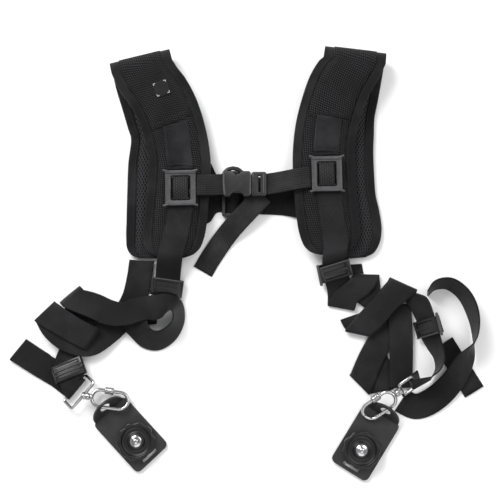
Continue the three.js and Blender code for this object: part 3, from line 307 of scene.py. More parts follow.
def surface(name, rings, loop=False, uv=None, slots=None, caps=True):
    # Mesh over a grid of rings, each ring closed on itself; loop also joins the last ring to the first. uv holds
    # one pair a grid point with one more column, so that the seam isn't wound back.
    count, sides = rings.shape[:2]
    spans = count if loop else count - 1
    quads = gridQuads(count, sides, spans)
    i, j = np.meshgrid(np.arange(spans), np.arange(sides), indexing="ij")
    points = toMetres(rings.reshape(-1, 3))
    points[:, 2] = np.maximum(points[:, 2], 0)
    faces = quads.tolist()
    if not loop and caps:
        faces += [list(range(sides)), list(range((count - 1) * sides, count * sides))[::-1]]
    corners = points[quads]
    volume = np.einsum("ij,ij->", np.cross(corners[:, 1] - corners[:, 0], corners[:, 2] - corners[:, 0])
                       + np.cross(corners[:, 2] - corners[:, 0], corners[:, 3] - corners[:, 0]),
                       corners.mean(1) - points.mean(0))
    flip = volume < 0
    if flip:
        faces = [f[::-1] for f in faces]
    piece = meshPiece(name, points, faces)
    mesh = piece.data
    layer = mesh.uv_layers.new(name="weave").data
    if uv is not None:
        grid = np.stack([uv[i, j], uv[i + 1, j], uv[i + 1, j + 1], uv[i, j + 1]], 2).reshape(-1, 4, 2)
        grid = grid[:, ::-1] if flip else grid
        flat = np.zeros((len(layer), 2))
        flat[:grid.shape[0] * 4] = grid.reshape(-1, 2)
        layer.foreach_set("uv", flat.ravel())
    smooth = np.ones(len(mesh.polygons), bool)
    smooth[len(quads):] = False
    mesh.polygons.foreach_set("use_smooth", smooth)
    if slots is not None:
        index = np.zeros(len(mesh.polygons), int)
        index[:len(quads)] = slots[i, j].ravel()
        index[len(quads):] = index[0]
        mesh.polygons.foreach_set("material_index", index)
    mesh.update()
    return piece


def solidOf(name):
    # the solid that a piece stands for: leftPadWebbing gives left_pad_webbing
    return "".join("_" + c.lower() if c.isupper() else c for c in name)


def wear(piece, body, slot, finishes, *replaced):
    # finishes, the body that carries the piece and the solids that it replaces; slot is not used
    for finish in finishes:
        piece.data.materials.append(finish)
    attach(piece, body)
    if replaced:
        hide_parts(*replaced)
    return piece


class Wire:
    # one output of a shader; an operator on it adds the Math node
    def __init__(self, shop, socket):
        self.shop, self.socket = shop, socket

    def maths(self, operation, *others):
        return self.shop.node("ShaderNodeMath", dict(operation=operation), *[self, *others])

    def __add__(self, other):
        return self.maths("ADD", other)

    def __mul__(self, other):
        return self.maths("MULTIPLY", other)

    def __sub__(self, other):
        return self.maths("SUBTRACT", other)

    def __rsub__(self, other):
        return self.shop.node("ShaderNodeMath", dict(operation="SUBTRACT"), other, self)

    __radd__, __rmul__ = __add__, __mul__

    def sine(self):
        return self.maths("SINE")

    def size(self):
        return self.maths("ABSOLUTE")

    def above(self, other):
        return self.maths("GREATER_THAN", other)

    def smooth(self, low, high):
        return self.shop.node("ShaderNodeMapRange", dict(interpolation_type="SMOOTHSTEP"), self, low, high, 0, 1)


class Shop:
    # one material with its own shader, fed through node and feed
    def __init__(self, name, colour, roughness, metallic=0.0, specular=0.5, **fixed):
        self.material = bpy.data.materials.new(name)
        self.material.use_nodes = True
        self.tree = self.material.node_tree
        self.shader = self.tree.nodes["Principled BSDF"]
        for socket, value in dict({"Base Color": (*colour, 1), "Roughness": roughness, "Metallic": metallic,
                                   "Specular IOR Level": specular}, **fixed).items():
            self.shader.inputs[socket].default_value = value

    def node(self, kind, settings, *inputs, take=0, **named):
        # node of a kind with its settings, then its sockets' values or links by place or by name
        made = self.tree.nodes.new(kind)
        for key, value in settings.items():
            setattr(made, key, value)
        for at, value in [*enumerate(inputs), *named.items()]:
            if isinstance(value, Wire):
                self.tree.links.new(value.socket, made.inputs[at])
            elif value is not None:
                made.inputs[at].default_value = value
        return Wire(self, made.outputs[take])

    def alongAcross(self):
        # the weave's own map in millimetres: across the strap, then along it
        split = self.node("ShaderNodeSeparateXYZ", {}, self.node("ShaderNodeUVMap", dict(uv_map="weave")))
        return [Wire(self, output) for output in split.socket.node.outputs[:2]]

    def noise(self, scale, detail=3.0, roughness=0.5):
        # noise over the place on the piece in metres
        place = self.node("ShaderNodeTexCoord", {}, take="Object")
        return self.node("ShaderNodeTexNoise", {}, take="Fac", Vector=place, Scale=scale, Detail=detail,
                         Roughness=roughness)

    def mix(self, factor, first, second):
        # colour from first to second; a Mix node's colour sockets are its seventh and eighth
        first, second = (c if isinstance(c, Wire) else (*c, 1) for c in (first, second))
        return self.node("ShaderNodeMix", dict(data_type="RGBA"), factor, *[None] * 5, first, second, take=2)

    def feed(self, socket, wire):
        self.tree.links.new(wire.socket, self.shader.inputs[socket])
        return self

    def relief(self, height, depth, strength=1.0):
        return self.feed("Normal", self.node("ShaderNodeBump", {}, Strength=strength, Distance=depth, Height=height))


def shades(colour, *factors):
    # the colour times each factor
    return [tuple(c * f for c in colour) for f in factors]


def wovenFinish(name, colour, rib, pick, roughness=0.78, edge=1.2, half=12.5):
    # Webbing: ribs across of width rib and picks of length pick, offset every other rib, in millimetres, with a
    # plain edge, painted shade on the lower threads, and slow lighter patches that are partly wear, partly painted
    # sheen.
    shop = Shop(name, colour, roughness, specular=0.17, **{"Sheen Weight": 0.02, "Sheen Roughness": 0.5})
    x, y = shop.alongAcross()
    rows = (x * (math.pi / rib)).sine()
    picks = (y * (2 * math.pi / pick) + rows.above(0) * math.pi).sine()
    thread = rows.size() * 0.7 + picks * 0.3
    inside = (half - x.size()).smooth(edge * 0.4, edge)
    # slow noise for the lighter patches: partly wear, partly painted sheen
    wornAndSheen = shop.noise(24, 3, 0.55)
    dark, mid, light = shades(colour, 0.35, 1, 2.6)
    # painted shade: the lower threads darker than the raised ones
    tone = shop.mix(thread.smooth(0.1, 0.9), dark, mid)
    shop.feed("Base Color", shop.mix(wornAndSheen.smooth(0.42, 0.72) * 0.7, tone, light))
    shop.feed("Roughness", roughness - 0.25 * wornAndSheen)
    shop.relief(thread * (0.4 + 0.6 * inside) + wornAndSheen * 0.3, 0.0004, 0.9)
    return shop.material


def clothFinish(name, colour, cell, roughness=0.85):
    # diagonal basket cloth: two sets of slanted threads crossing, every other one raised; the low threads painted
    # darker as painted shade, the raised knots lighter as a patchy painted highlight
    shop = Shop(name, colour, roughness, specular=0.14, **{"Sheen Weight": 0.03, "Sheen Roughness": 0.45})
    x, y = shop.alongAcross()
    first = ((x + y) * (math.pi / cell)).sine()
    second = ((x - y) * (1.35 * math.pi / cell)).sine()
    knots = first * second
    fine = ((x + y) * (4 * math.pi / cell)).sine() * 0.15
    dark, mid, light = shades(colour, 0.3, 1, 3.0)
    # slow noise: partly wear, partly painted sheen on the knots
    wornAndSheen = shop.noise(30, 4, 0.6)
    # painted shade in the low threads, then a painted highlight on the raised knots
    tone = shop.mix(knots.smooth(-0.7, 0.6), dark, mid)
    shop.feed("Base Color", shop.mix(knots.smooth(0.1, 0.9) * (0.35 + wornAndSheen.smooth(0.3, 0.7)), tone, light))
    shop.feed("Roughness", roughness - 0.12 * wornAndSheen)
    shop.relief(knots + fine + wornAndSheen * 0.4, 0.0007, 0.9)
    return shop.material


def meshFinish(name, colour, hole):
    # spacer mesh: rows of small round holes, every other row shifted by half a hole, painted almost black as painted
    # shade inside them
    shop = Shop(name, colour, 0.88, specular=0.1, **{"Sheen Weight": 0.03})
    x, y = shop.alongAcross()
    turn = 2 * math.pi / hole
    line = (y * (turn / 2)).sine()
    pits = (x * turn + line.above(0) * math.pi).sine() * line.size()
    # painted shade: the holes nearly black, the threads around them lighter
    dark, light = shades(colour, 0.03, 2.6)
    shop.feed("Base Color", shop.mix(pits.smooth(0.15, 0.5), light, dark))
    shop.relief(1 - pits.smooth(0.0, 0.6), 0.0011, 1.0)
    return shop.material


def moulded(name, colour, roughness, grain, depth, coat=0.0, metallic=0.0, scuff=0.5):
    # moulded or coated skin: fine grain, slow change of gloss and lighter rubbed patches
    shop = Shop(name, colour, roughness, metallic, 0.5 if metallic else 0.3,
                **{"Coat Weight": coat, "Coat Roughness": 0.25})
    fine, slow = shop.noise(grain, 3, 0.6), shop.noise(grain / 18, 4, 0.6)
    plain, rubbed = shades(colour, 0.85, 1.45)
    shop.feed("Base Color", shop.mix(slow.smooth(0.4, 0.8) * scuff, plain, rubbed))
    shop.feed("Roughness", roughness + 0.16 * (slow - 0.5))
    shop.relief(fine, depth, 0.6)
    return shop.material


finishes = dict(
    webbing=wovenFinish("webbing", (0.0075, 0.0075, 0.0082), 1.1, 1.6, 0.5),
    smooth=wovenFinish("smoothWebbing", (0.015, 0.015, 0.0165), 0.6, 0.9, 0.5),
    grosgrain=wovenFinish("grosgrain", (0.0115, 0.0115, 0.012), 2.1, 3.1, 0.7, half=10.5),
    ribbed=wovenFinish("ribbedWebbing", (0.018, 0.018, 0.019), 2.2, 3.2, 0.6, half=7.6),
    rear=wovenFinish("rearWebbing", (0.006, 0.006, 0.0065), 1.5, 2.0, 0.85, half=19),
    tape=wovenFinish("bindingTape", (0.0095, 0.0095, 0.01), 0.8, 1.2, 0.7, half=40),
    cloth=clothFinish("diagonalCloth", (0.0135, 0.0135, 0.0145), 2.5),
    patch=clothFinish("patchCloth", (0.03, 0.03, 0.032), 0.8),
    mesh=meshFinish("spacerMesh", (0.011, 0.011, 0.012), 3.0),
    plastic=moulded("mouldedPlastic", (0.018, 0.018, 0.019), 0.36, 2200, 0.00004, 0.15),
    slider=moulded("sliderPlastic", (0.062, 0.062, 0.065), 0.34, 2200, 0.00004, 0.2),
    gloss=moulded("glossPlastic", (0.006, 0.006, 0.0065), 0.28, 2200, 0.00002, 0.2),
    plate=moulded("plateCoating", (0.028, 0.028, 0.029), 0.4, 1500, 0.00008),
    wheel=moulded("wheelPlastic", (0.007, 0.007, 0.0073), 0.36, 2200, 0.00005, 0.2),
    chrome=moulded("polishedMetal", (0.5, 0.5, 0.51), 0.18, 900, 0.000005, metallic=1.0, scuff=0.25),
    sleeve=moulded("sleeveMetal", (0.42, 0.42, 0.43), 0.3, 900, 0.00001, metallic=1.0),
    thread=moulded("thread", (0.022, 0.022, 0.023), 0.7, 3000, 0.00005),
    bright=moulded("brightThread", (0.75, 0.75, 0.75), 0.6, 3000, 0.00005),
)
print("finishes made:", len(finishes))


strapShape = dict(acrossPoints=9, edgePoints=4)


def strapRing(half, thick):
    # flat band with half round edges, a row of x and z for each section: x runs across, z = +- half the thickness
    share = np.linspace(-1, 1, strapShape["acrossPoints"])
    bend = np.radians(np.linspace(-90, 90, strapShape["edgePoints"] + 2))[1:-1]
    r = thick / 2
    inner = half - r
    x = np.concatenate([share * inner, inner + r * np.cos(bend), share[::-1] * inner, -inner - r * np.cos(bend)], -1)
    z = np.concatenate([-r + 0 * share, r * np.sin(bend), r + 0 * share, -r * np.sin(bend)], -1)
    return x, z


def strapGrid(stations, thick=None):
    # rings of a band: middle + across * x + normal * z, where z also waves by about a fifth of a millimetre,
    # 0.22 * share^2 * sin(length / 21) + 0.12 * sin(length / 7.5 + 1.9 * share)
    middle, u, n, length = frames(stations)
    x, z = strapRing(stations[:, 5:6], (thick or sizes["webThick"]) * stations[:, 6:7])
    share, along = x / stations[:, 5:6], length[:, None]
    z = z + 0.22 * share ** 2 * np.sin(along / 21 + middle[0, 0] * 0.37) + 0.12 * np.sin(along / 7.5 + 1.9 * share)
    rings = middle[:, None] + x[..., None] * u[:, None] + z[..., None] * n[:, None]
    run = np.stack([np.hstack([x, x[:, :1]]), np.repeat(along, x.shape[1] + 1, 1)], -1)
    return rings, run


def strap(name, stations, slot, finish, *replaced, thick=None):
    # band along its stations, carried by the harness
    rings, run = strapGrid(stations, thick)
    return wear(surface(name, rings, uv=run), "harness", slot, [finishes[finish]], *replaced)


def surfaceLay(lay):
    # webbing on a pad: its layers are counted from the table by the height of the pad's face
    return dict(lay, width=sizes["webWidth"], pitch=padSurface, floor=0)


def frontLay(lay):
    # run from the pad down to the table: its first layer is at the pad's face
    return dict(lay, pitch=padSurface - lay["floor"])


# place, slot and finish of each strap; its rows and its solid go by the same name
strapTable = dict(
    leftPadWebbing=(surfaceLay(leftLay), "grosgrain", "smooth"),
    rightPadWebbing=(surfaceLay(rightLay), "grosgrain", "smooth"),
    leftSlingFront=(frontLay(leftSling), "sling_webbing", "webbing"),
    rightSlingFront=(frontLay(rightSling), "sling_webbing", "webbing"),
    leftSlingCurl=(leftSling, "sling_webbing", "webbing"),
    leftSlingRear=(leftSling, "sling_webbing", "webbing"),
    rightSlingDrop=(rightSling, "sling_webbing", "webbing"),
    rightSlingFold=(rightSling, "sling_webbing", "webbing"),
    rightSlingLoop=(rightSling, "sling_webbing", "webbing"),
    rightSlingTail=(rightSling, "sling_webbing", "webbing"),
    rightSlingRear=(rightSling, "sling_webbing", "webbing"),
    chestStrapLeft=(chestLay, "grosgrain", "grosgrain"),
    chestStrapRight=(chestLay, "grosgrain", "grosgrain"),
    chestStrapTail=(chestLay, "grosgrain", "grosgrain"),
    rearStrap=(rearLay, "grosgrain", "rear"),
)
stations = {}
for name, (lay, slot, finish) in strapTable.items():
    stations[name] = stationsOf(lies[name], lay)
    strap(name, stations[name], slot, finish, solidOf(name))
print("straps laid:", len(strapTable))


# tape, shoulder, groove and rim are shares of the half width; the rest is in millimetres
padShape = dict(tape=0.7, shoulder=0.5, rim=0.975, cornerPoints=5, acrossPoints=33, crown=0.35, pucker=0.3,
                panelStep=0.7, groove=1.1, grooveWidth=0.02, foldSpread=13, foldThick=0.93, seamSlant=3.4,
                lip=0.33, lipAt=1.4, lipWidth=1.3, seamDip=0.7, dipWidth=0.7,
                grooveSteps=np.array([-0.05, -0.03, -0.015, 0, 0.015, 0.03, 0.05]))


def padHeights(share):
    # half thickness across the pad: thin under the tape, a soft rise and a slightly crowned middle
    p = padShape
    rise = np.clip((p["tape"] - np.abs(share)) / (p["tape"] - p["shoulder"]), 0, 1)
    rise = rise * rise * (3 - 2 * rise)
    groove = p["groove"] * np.exp(-((np.abs(share) - p["tape"]) / p["grooveWidth"]) ** 2)
    edge = sizes["padEdge"] / 2
    return edge + (padFloor - edge) * rise + p["crown"] * (1 - share ** 2) * rise - groove


def makePad(name, rows, lay, seamY, node):
    # Pad: closed profile of share across and height, carried along the folded path. The outer face has a raised
    # cloth panel from the rear end to the cross seam; the inner face is mesh; the edges are bound with tape. Puckers
    # are waves along times waves across, and the outer face is pressed flat where the pad is folded.
    p = padShape
    path = stationsOf(rows, lay, steps=16, foldSteps=24)
    middle, u, n, length = frames(path)
    fine = p["tape"] + p["grooveSteps"]
    rim = p["rim"]
    share = np.sort(np.concatenate([np.linspace(-1, 1, p["acrossPoints"]) * rim, fine, -fine]))
    bend = np.radians(np.linspace(-90, 90, p["cornerPoints"] + 2))[1:-1]
    x = np.concatenate([share, rim + (1 - rim) * np.cos(bend), share[::-1], -rim - (1 - rim) * np.cos(bend)])
    h = padHeights(share)
    edge = sizes["padEdge"] / 2
    z = np.concatenate([-h, edge * np.sin(bend), h[::-1], -edge * np.sin(bend)])
    outer = (z > 0) & (np.abs(x) < 0.98)
    crest = np.argmax(np.abs(np.gradient(middle[:, 2], length)))
    onFront = np.arange(len(path)) > crest
    seamAt = length[onFront][np.argmin(np.abs(middle[onFront, 1] - seamY))]
    half, thick, along = path[:, 5:6], path[:, 6:7], length[:, None]
    folded = np.exp(-((along - length[crest]) / p["foldSpread"]) ** 2)
    flatter = np.where(z > 0.3, padFloor * p["foldThick"] - z, 0) * folded
    before = seamAt - p["seamSlant"] * x - along
    lip = (p["lip"] * np.exp(-((before - p["lipAt"]) / p["lipWidth"]) ** 2)
           - p["seamDip"] * np.exp(-(before / p["dipWidth"]) ** 2))
    covered = np.abs(x) < p["tape"]
    soft = p["pucker"] * np.sin(along / 7.3 + 2.1 * x) * np.sin(along / 17 - 1.3 * x) * covered * np.sign(z)
    panel = (p["panelStep"] * (before > 0) + lip) * (covered & outer)
    height = (z + panel + soft * (1 - folded) + flatter) * thick
    rings = middle[:, None] + (x * half)[..., None] * u[:, None] + height[..., None] * n[:, None]
    wide = np.append(x, x[0]) * lay["width"] / 2
    run = np.stack([np.tile(wide, (len(path), 1)), np.repeat(along, len(wide), 1)], -1)
    slots = np.where(np.abs(x) >= p["tape"], 0, np.where(outer, 1, 2))
    slots = np.repeat(slots[None], len(path), 0)
    piece = surface(name, rings, uv=run, slots=slots)
    wear(piece, "harness", "pad_cloth", [finishes["tape"], finishes["cloth"], finishes["mesh"]], node)
    return path, middle, u, n, length, seamAt


leftPad = makePad("leftPad", lies["leftPadRows"], leftLay, 126.5, "left_pad")
rightPad = makePad("rightPad", lies["rightPadRows"], rightLay, 132, "right_pad")
stations["leftPadPatch"] = stationsOf(lies["patchRows"], patchLay)
strap("leftPadPatch", stations["leftPadPatch"], "patch_cloth", "patch", "left_pad_patch", thick=0.8)
print("pads made")


def placed(points, x, z, origin):
    # local points to the drawing: x along the first axis, z along the second, y across both
    y = np.cross(z, x)
    return points[..., 0:1] * x + points[..., 1:2] * y + points[..., 2:3] * z + origin


def slingPoint(lay, x, y, z):
    # shares of the slings' reach to a place on the drawing
    return np.array([lay["x"] + x * sizes["slingReach"], lay["y"] + y * sizes["slingReach"], z])


plateShape = dict(length=65, thick=3.6, lugLean=60, lugHoleAt=9.5, wheelAt=-8.5,
                  wheelRadius=19, wheelHeight=8, wheelFloor=3, recess=14.3, boss=8, scallops=10, depth=1.4,
                  screw=3.1, collar=5.8, screwReach=5, threadPitch=1.27, threadRows=44)
ringSpan = sizes["ringDepth"] - sizes["ringWire"]
limbOffset = (sizes["hookWidth"] - sizes["hookWire"]) / 2
hookStart = sizes["barrelLength"] + sizes["fit"]
lugLean = math.radians(plateShape["lugLean"])
lugHole = np.array([0, plateShape["length"] / 2 - 1 + plateShape["lugHoleAt"] * math.cos(lugLean),
                    plateShape["thick"] - 1 + plateShape["lugHoleAt"] * math.sin(lugLean)])
ringFloor = 0.5 * sizes["ringWire"] + sizes["webThick"] + 2 * sizes["fit"] + 0.4
carrierTable = dict(
    left=dict(bar=slingPoint(leftSling, -0.36, -0.645, ringFloor), turn=50, tilt=0, lean=None, hookTurn=-8, slope=4,
              roll=8, side=-1, limb=0.41, plateTurn=133),
    right=dict(bar=slingPoint(rightSling, 0.34, -0.6175, 0), turn=-55, tilt=-67, lean=0, hookTurn=215, slope=16,
               roll=-16, side=1, limb=0.46, plateTurn=58),
)


def carrierPlaces(c):
    # ring frame, hook frame and plate frame of one carrier, as axes and origins
    along = hookStart + c["limb"] * sizes["hookLength"]
    axis = across(c["hookTurn"], -c["slope"])
    roll = math.radians(c["roll"])
    sideways = (across(c["hookTurn"] + 90 * c["side"]) * math.cos(roll)
                + across(c["hookTurn"], 90 - c["slope"]) * math.sin(roll))
    height = lugHole[2] - along * axis[2] - limbOffset * sideways[2]
    bar, leaning = c["bar"].copy(), c["lean"]
    if leaning is None:
        leaning = math.degrees(math.asin((height - bar[2]) / ringSpan))
    else:
        bar[2] = height
    barWay, flat = across(c["turn"], c["tilt"]), across(c["turn"] - 90)
    lean = math.radians(leaning)
    reach = flat * math.cos(lean) + np.cross(flat, barWay) * math.sin(lean)
    outer = bar + reach * ringSpan
    lengthwise, level = across(c["plateTurn"]), across(c["plateTurn"] - 90)
    hole = outer + axis * along + sideways * limbOffset
    plate = hole - lengthwise * lugHole[1]
    plate[2] = 0
    return dict(bar=bar, barWay=barWay, reach=reach, normal=np.cross(reach, barWay), outer=outer, axis=axis,
                hookNormal=np.cross(axis, sideways) * c["side"], side=c["side"], plate=plate, level=level,
                lengthwise=lengthwise)


def wrap(place, turn, tilt, beyond):
    # half circle of webbing round the ring's inner bar, as stations
    radius = (sizes["ringWire"] + sizes["webThick"]) / 2 + sizes["fit"]
    angle = np.pi * (0.5 - np.arange(13) / 12)[:, None]
    middle = place["bar"] + radius * (place["reach"] * np.cos(angle) + place["normal"] * np.sin(angle))
    if beyond:
        middle = np.vstack([middle, middle[-1] - place["reach"] * beyond])
    return np.hstack([middle, np.tile([turn, tilt, sizes["webWidth"] / 2, 1], (len(middle), 1))])


carriers = {side: carrierPlaces(c) for side, c in carrierTable.items()}
stations["leftSlingRingEnd"] = np.vstack([
    stationsOf(lies["leftEndRows"], leftSling), wrap(carriers["left"], 50, 0, 0),
    stationsOf(lies["leftUnderRows"], leftSling)])
stations["rightSlingCross"] = np.vstack([
    stationsOf(lies["rightCrossRows"], rightSling), wrap(carriers["right"], -55, 113, 9)])
for name in ("leftSlingRingEnd", "rightSlingCross"):
    strap(name, stations[name], "sling_webbing", "webbing", solidOf(name))


def roundedLoop(length, width, corner, steps):
    # rounded rectangle in the plane, anticlockwise
    cx, cy = length / 2 - corner, width / 2 - corner
    parts = []
    for k, (x, y) in enumerate([(cx, -cy), (cx, cy), (-cx, cy), (-cx, -cy)]):
        angle = np.radians(np.linspace(-90 + 90 * k, 90 * k, steps))
        parts.append(np.stack([x + corner * np.cos(angle), y + corner * np.sin(angle), 0 * angle], -1))
    return np.vstack(parts)


def loopTube(points, radius, sides=20):
    # Round wire along a closed flat loop: each ring stands in the plane of the loop's outward and z directions.
    way = np.roll(points, -1, 0) - np.roll(points, 1, 0)
    way /= np.linalg.norm(way, axis=1)[:, None]
    out = np.cross(way, [0, 0, 1])
    return circled(points, radius, out, np.array([[0, 0, 1.0]]), sides)


def lathe(profile, sides=32):
    # profile rows of radius and height turned about z, given as rings from bottom to top
    profile = np.asarray(profile, float)
    angle = 2 * np.pi * np.arange(sides) / sides
    return np.stack([profile[:, :1] * np.cos(angle), profile[:, :1] * np.sin(angle),
                     np.repeat(profile[:, 1:], sides, 1)], -1)


def turnedTo(points, way, origin):
    # local z along the way, at the origin
    side = np.cross([0.13, 0.2, 1.0] if abs(way[2]) < 0.9 else [1.0, 0, 0], way)
    side /= np.linalg.norm(side)
    return placed(points, side, way, origin)


def rod(name, points, radius, finish, slot, sides=14):
    # Rod along open points with rounded ends: rings shrink over the last radius at both ends.
    points = np.asarray(points, float)
    way = np.gradient(points, axis=0)
    way /= np.linalg.norm(way, axis=1)[:, None]
    side = np.cross(way, [0.01, 0.02, 1.0] if abs(way[0][2]) < 0.9 else [1.0, 0, 0])
    side /= np.linalg.norm(side, axis=1)[:, None]
    up = np.cross(side, way)
    dome = np.radians([8, 35, 60, 80])
    ends = [points[0] - way[0] * radius * np.cos(a) for a in dome]
    last = [points[-1] + way[-1] * radius * np.cos(a) for a in dome[::-1]]
    middles = np.vstack([ends, points, last])
    widths = np.concatenate([np.sin(dome), np.ones(len(points)), np.sin(dome[::-1])]) * radius
    pick = np.clip(np.arange(len(middles)) - len(dome), 0, len(points) - 1)
    rings = circled(middles, widths[:, None, None], side[pick], up[pick], sides)
    return wear(surface(name, rings), "harness", slot, [finishes[finish]])


def joined(name, pieces):
    # several made pieces become one object
    with bpy.context.temp_override(active_object=pieces[0], selected_editable_objects=pieces,
                                   selected_objects=pieces, object=pieces[0]):
        bpy.ops.object.join()
    pieces[0].name = name
    return pieces[0]


def softened(name, slot, finish, width, segments=3):
    # Copy of a solid's mesh: merged corners, flat faces joined, and its edges rounded by a bevel.
    mesh = nodes[solidOf(name)].data.copy()
    mesh.name = name
    mesh.materials.clear()
    work = bmesh.new()
    work.from_mesh(mesh)
    bmesh.ops.remove_doubles(work, verts=work.verts, dist=2e-6)
    bmesh.ops.dissolve_limit(work, angle_limit=math.radians(1.2), verts=work.verts, edges=work.edges)
    work.to_mesh(mesh)
    work.free()
    mesh.polygons.foreach_set("use_smooth", np.ones(len(mesh.polygons), bool))
    piece = linked(name, mesh)
    bevel = piece.modifiers.new("roundedEdges", "BEVEL")
    bevel.width, bevel.segments, bevel.limit_method = width * 0.001, segments, "ANGLE"
    bevel.angle_limit, bevel.harden_normals = math.radians(32), True
    return wear(piece, "harness", slot, [finishes[finish]], solidOf(name))


def wheelRings(p):
    # Scalloped wheel: a closed profile of radius and height for every angle; the outer radius dips between the
    # lobes, the recess and the boss stay round.
    angle = np.linspace(0, 2 * np.pi, 160, endpoint=False)
    bore, top = p["screw"] + 0.3, p["wheelHeight"]
    dip = p["depth"] * (0.5 - 0.5 * np.cos(p["scallops"] * angle))
    wave = p["wheelRadius"] - dip
    profile = [(bore, 0.3, 0), (bore + 0.3, 0, 0), (-1.0, 0, 1), (-0.3, 0.3, 1), (0, 1.0, 1), (0, top - 1.4, 1),
               (-0.25, top - 0.6, 1), (-0.8, top - 0.15, 1), (-1.5, top, 1), (p["recess"] + 1.0, top, 0),
               (p["recess"] + 0.35, top - 0.2, 0), (p["recess"], top - 0.7, 0),
               (p["recess"], p["wheelFloor"] + 0.5, 0),
               (p["recess"] - 0.5, p["wheelFloor"], 0), (p["boss"] + 0.6, p["wheelFloor"], 0),
               (p["boss"], p["wheelFloor"] + 0.5, 0), (p["boss"], top - 2.0, 0), (p["boss"] - 0.5, top - 1.5, 0),
               (bore + 0.3, top - 1.5, 0), (bore, top - 1.8, 0)]
    values = np.array(profile)
    r = values[None, :, 0] + values[None, :, 2] * wave[:, None]
    return np.stack([r * np.cos(angle)[:, None], r * np.sin(angle)[:, None],
                     np.repeat(values[None, :, 1], len(angle), 0)], -1)


def screwRings(p):
    # threaded shank: its radius follows a saw that winds round once a pitch; a smooth collar lies on the boss
    base, sides = p["thick"] + 0.3, 32
    collarAt = base + p["wheelHeight"] - 1.5 + 0.3
    top = base + p["wheelHeight"] + p["screwReach"]
    plain = [(0.01, 0.4), (p["screw"], 0.4), (p["screw"], collarAt), (p["collar"] - 0.3, collarAt),
             (p["collar"], collarAt + 0.3), (p["collar"], collarAt + 0.9), (p["collar"] - 0.3, collarAt + 1.2),
             (p["screw"], collarAt + 1.2)]
    heights = np.linspace(collarAt + 1.3, top - 0.6, p["threadRows"])
    rows = np.array(plain + [(p["screw"], h) for h in heights] + [(p["screw"] - 0.7, top), (0.01, top)])
    rings = lathe(rows, sides)
    angle = 2 * np.pi * np.arange(sides) / sides
    saw = np.abs(((heights[:, None] / p["threadPitch"] - angle / (2 * np.pi)) % 1) * 2 - 1)
    radius = p["screw"] - 0.45 + 0.42 * saw
    threads = slice(len(plain), len(plain) + p["threadRows"])
    rings[threads, :, 0] = radius * np.cos(angle)
    rings[threads, :, 1] = radius * np.sin(angle)
    return rings


# rows of radius and length along the piece's own axis, in millimetres
barrelEnd = sizes["barrelLength"]
barrelProfile = [
    (0.01, -0.4 * sizes["ringWire"]), (3, -0.4 * sizes["ringWire"]), (3.6, 0.5 - 0.4 * sizes["ringWire"]),
    (3.6, 2.1), (3.3, 2.4), (3.3, 2.8), (3.6, 3.1), (3.6, barrelEnd - 0.5), (3.1, barrelEnd), (1.9, barrelEnd),
    (1.9, 2.2), (0.01, 2.2)]
stemProfile = [(0.01, 1.9), (1.4, 1.9), (1.6, 2.2), (1.6, hookStart + 1.5), (0.01, hookStart + 1.5)]
shoulderProfile = [(0.01, 0), (2.6, 0), (3.1, 0.5), (3.1, 1.9), (2.5, 2.6), (0.01, 2.6)]
sleeveProfile = [
    (2.06, 0.25), (2.3, 0), (3.2, 0), (3.5, 0.3), (3.5, 2.2), (3.2, 2.5), (3.5, 2.8), (3.5, 4.1), (3.2, 4.4),
    (3.5, 4.7), (3.5, 8.2), (3.2, 8.5), (2.3, 8.5), (2.06, 8.25), (2.06, 4)]
ringCorner, shoulderAt, sleeveAt = 2.5, hookStart + 0.05, hookStart + 13.5


def chromed(name, pieces):
    # pieces joined under one polished finish
    return wear(joined(name, pieces), "harness", "polished_metal", [finishes["chrome"]], solidOf(name))


def makeRing(side, place):
    # square ring with the swivel's barrel on its outer bar
    loop = roundedLoop(sizes["ringLength"] - sizes["ringWire"], ringSpan, ringCorner, 7)
    wire = placed(loopTube(loop, sizes["ringWire"] / 2), place["barWay"], place["normal"],
                  place["bar"] + place["reach"] * ringSpan / 2)
    ring = surface(f"{side}Ring", wire, loop=True)
    barrel = surface(f"{side}Barrel", turnedTo(lathe(barrelProfile), place["axis"], place["outer"]))
    chromed(f"{side}Ring", [ring, barrel])


def makeHook(side, place):
    # oval of wire with its stem and shoulder, and the sleeve round the limb at its side
    oval = roundedLoop(sizes["hookLength"] - sizes["hookWire"], 2 * limbOffset, limbOffset - 0.01, 14)
    oval[:, 0] += hookStart + sizes["hookLength"] / 2
    axes = (place["axis"], place["hookNormal"], place["outer"])
    hook = surface(f"{side}Hook", placed(loopTube(oval, sizes["hookWire"] / 2, 24), *axes), loop=True)
    shoulder = lathe(shoulderProfile, 24)
    shoulder[..., 2] += shoulderAt
    parts = [surface(f"{side}{part}", turnedTo(rings, place["axis"], place["outer"]))
             for part, rings in (("Stem", lathe(stemProfile, 20)), ("Shoulder", shoulder))]
    chromed(f"{side}Hook", [hook] + parts)
    sleeve = lathe(sleeveProfile, 28).transpose(1, 0, 2)[..., [2, 1, 0]] * [1, 1, -1]
    sleeve += [sleeveAt, -place["side"] * limbOffset, 0]
    wear(surface(f"{side}HookSleeve", placed(sleeve, *axes), loop=True), f"{side}_sleeve", "dark_metal",
         [finishes["sleeve"]], f"{side}_hook_sleeve")


def makePlate(side, place):
    # coated plate, and the thumb wheel with its screw, which turn together
    softened(f"{side}CameraPlate", "plate_rubber", "plate", 0.8, 4)
    p = plateShape
    axes = (place["level"], np.array([0, 0, 1.0]), place["plate"] + place["lengthwise"] * p["wheelAt"])
    wear(surface(f"{side}ThumbWheel", placed(wheelRings(p) + [0, 0, p["thick"] + 0.3], *axes), loop=True),
         f"{side}_wheel", "plate_rubber", [finishes["wheel"]], f"{side}_thumb_wheel")
    wear(surface(f"{side}CameraScrew", placed(screwRings(p), *axes)), f"{side}_wheel", "polished_metal",
         [finishes["chrome"]], f"{side}_camera_screw")


for side, place in carriers.items():
    makeRing(side, place)
    makeHook(side, place)
    makePlate(side, place)
print("carriers made")


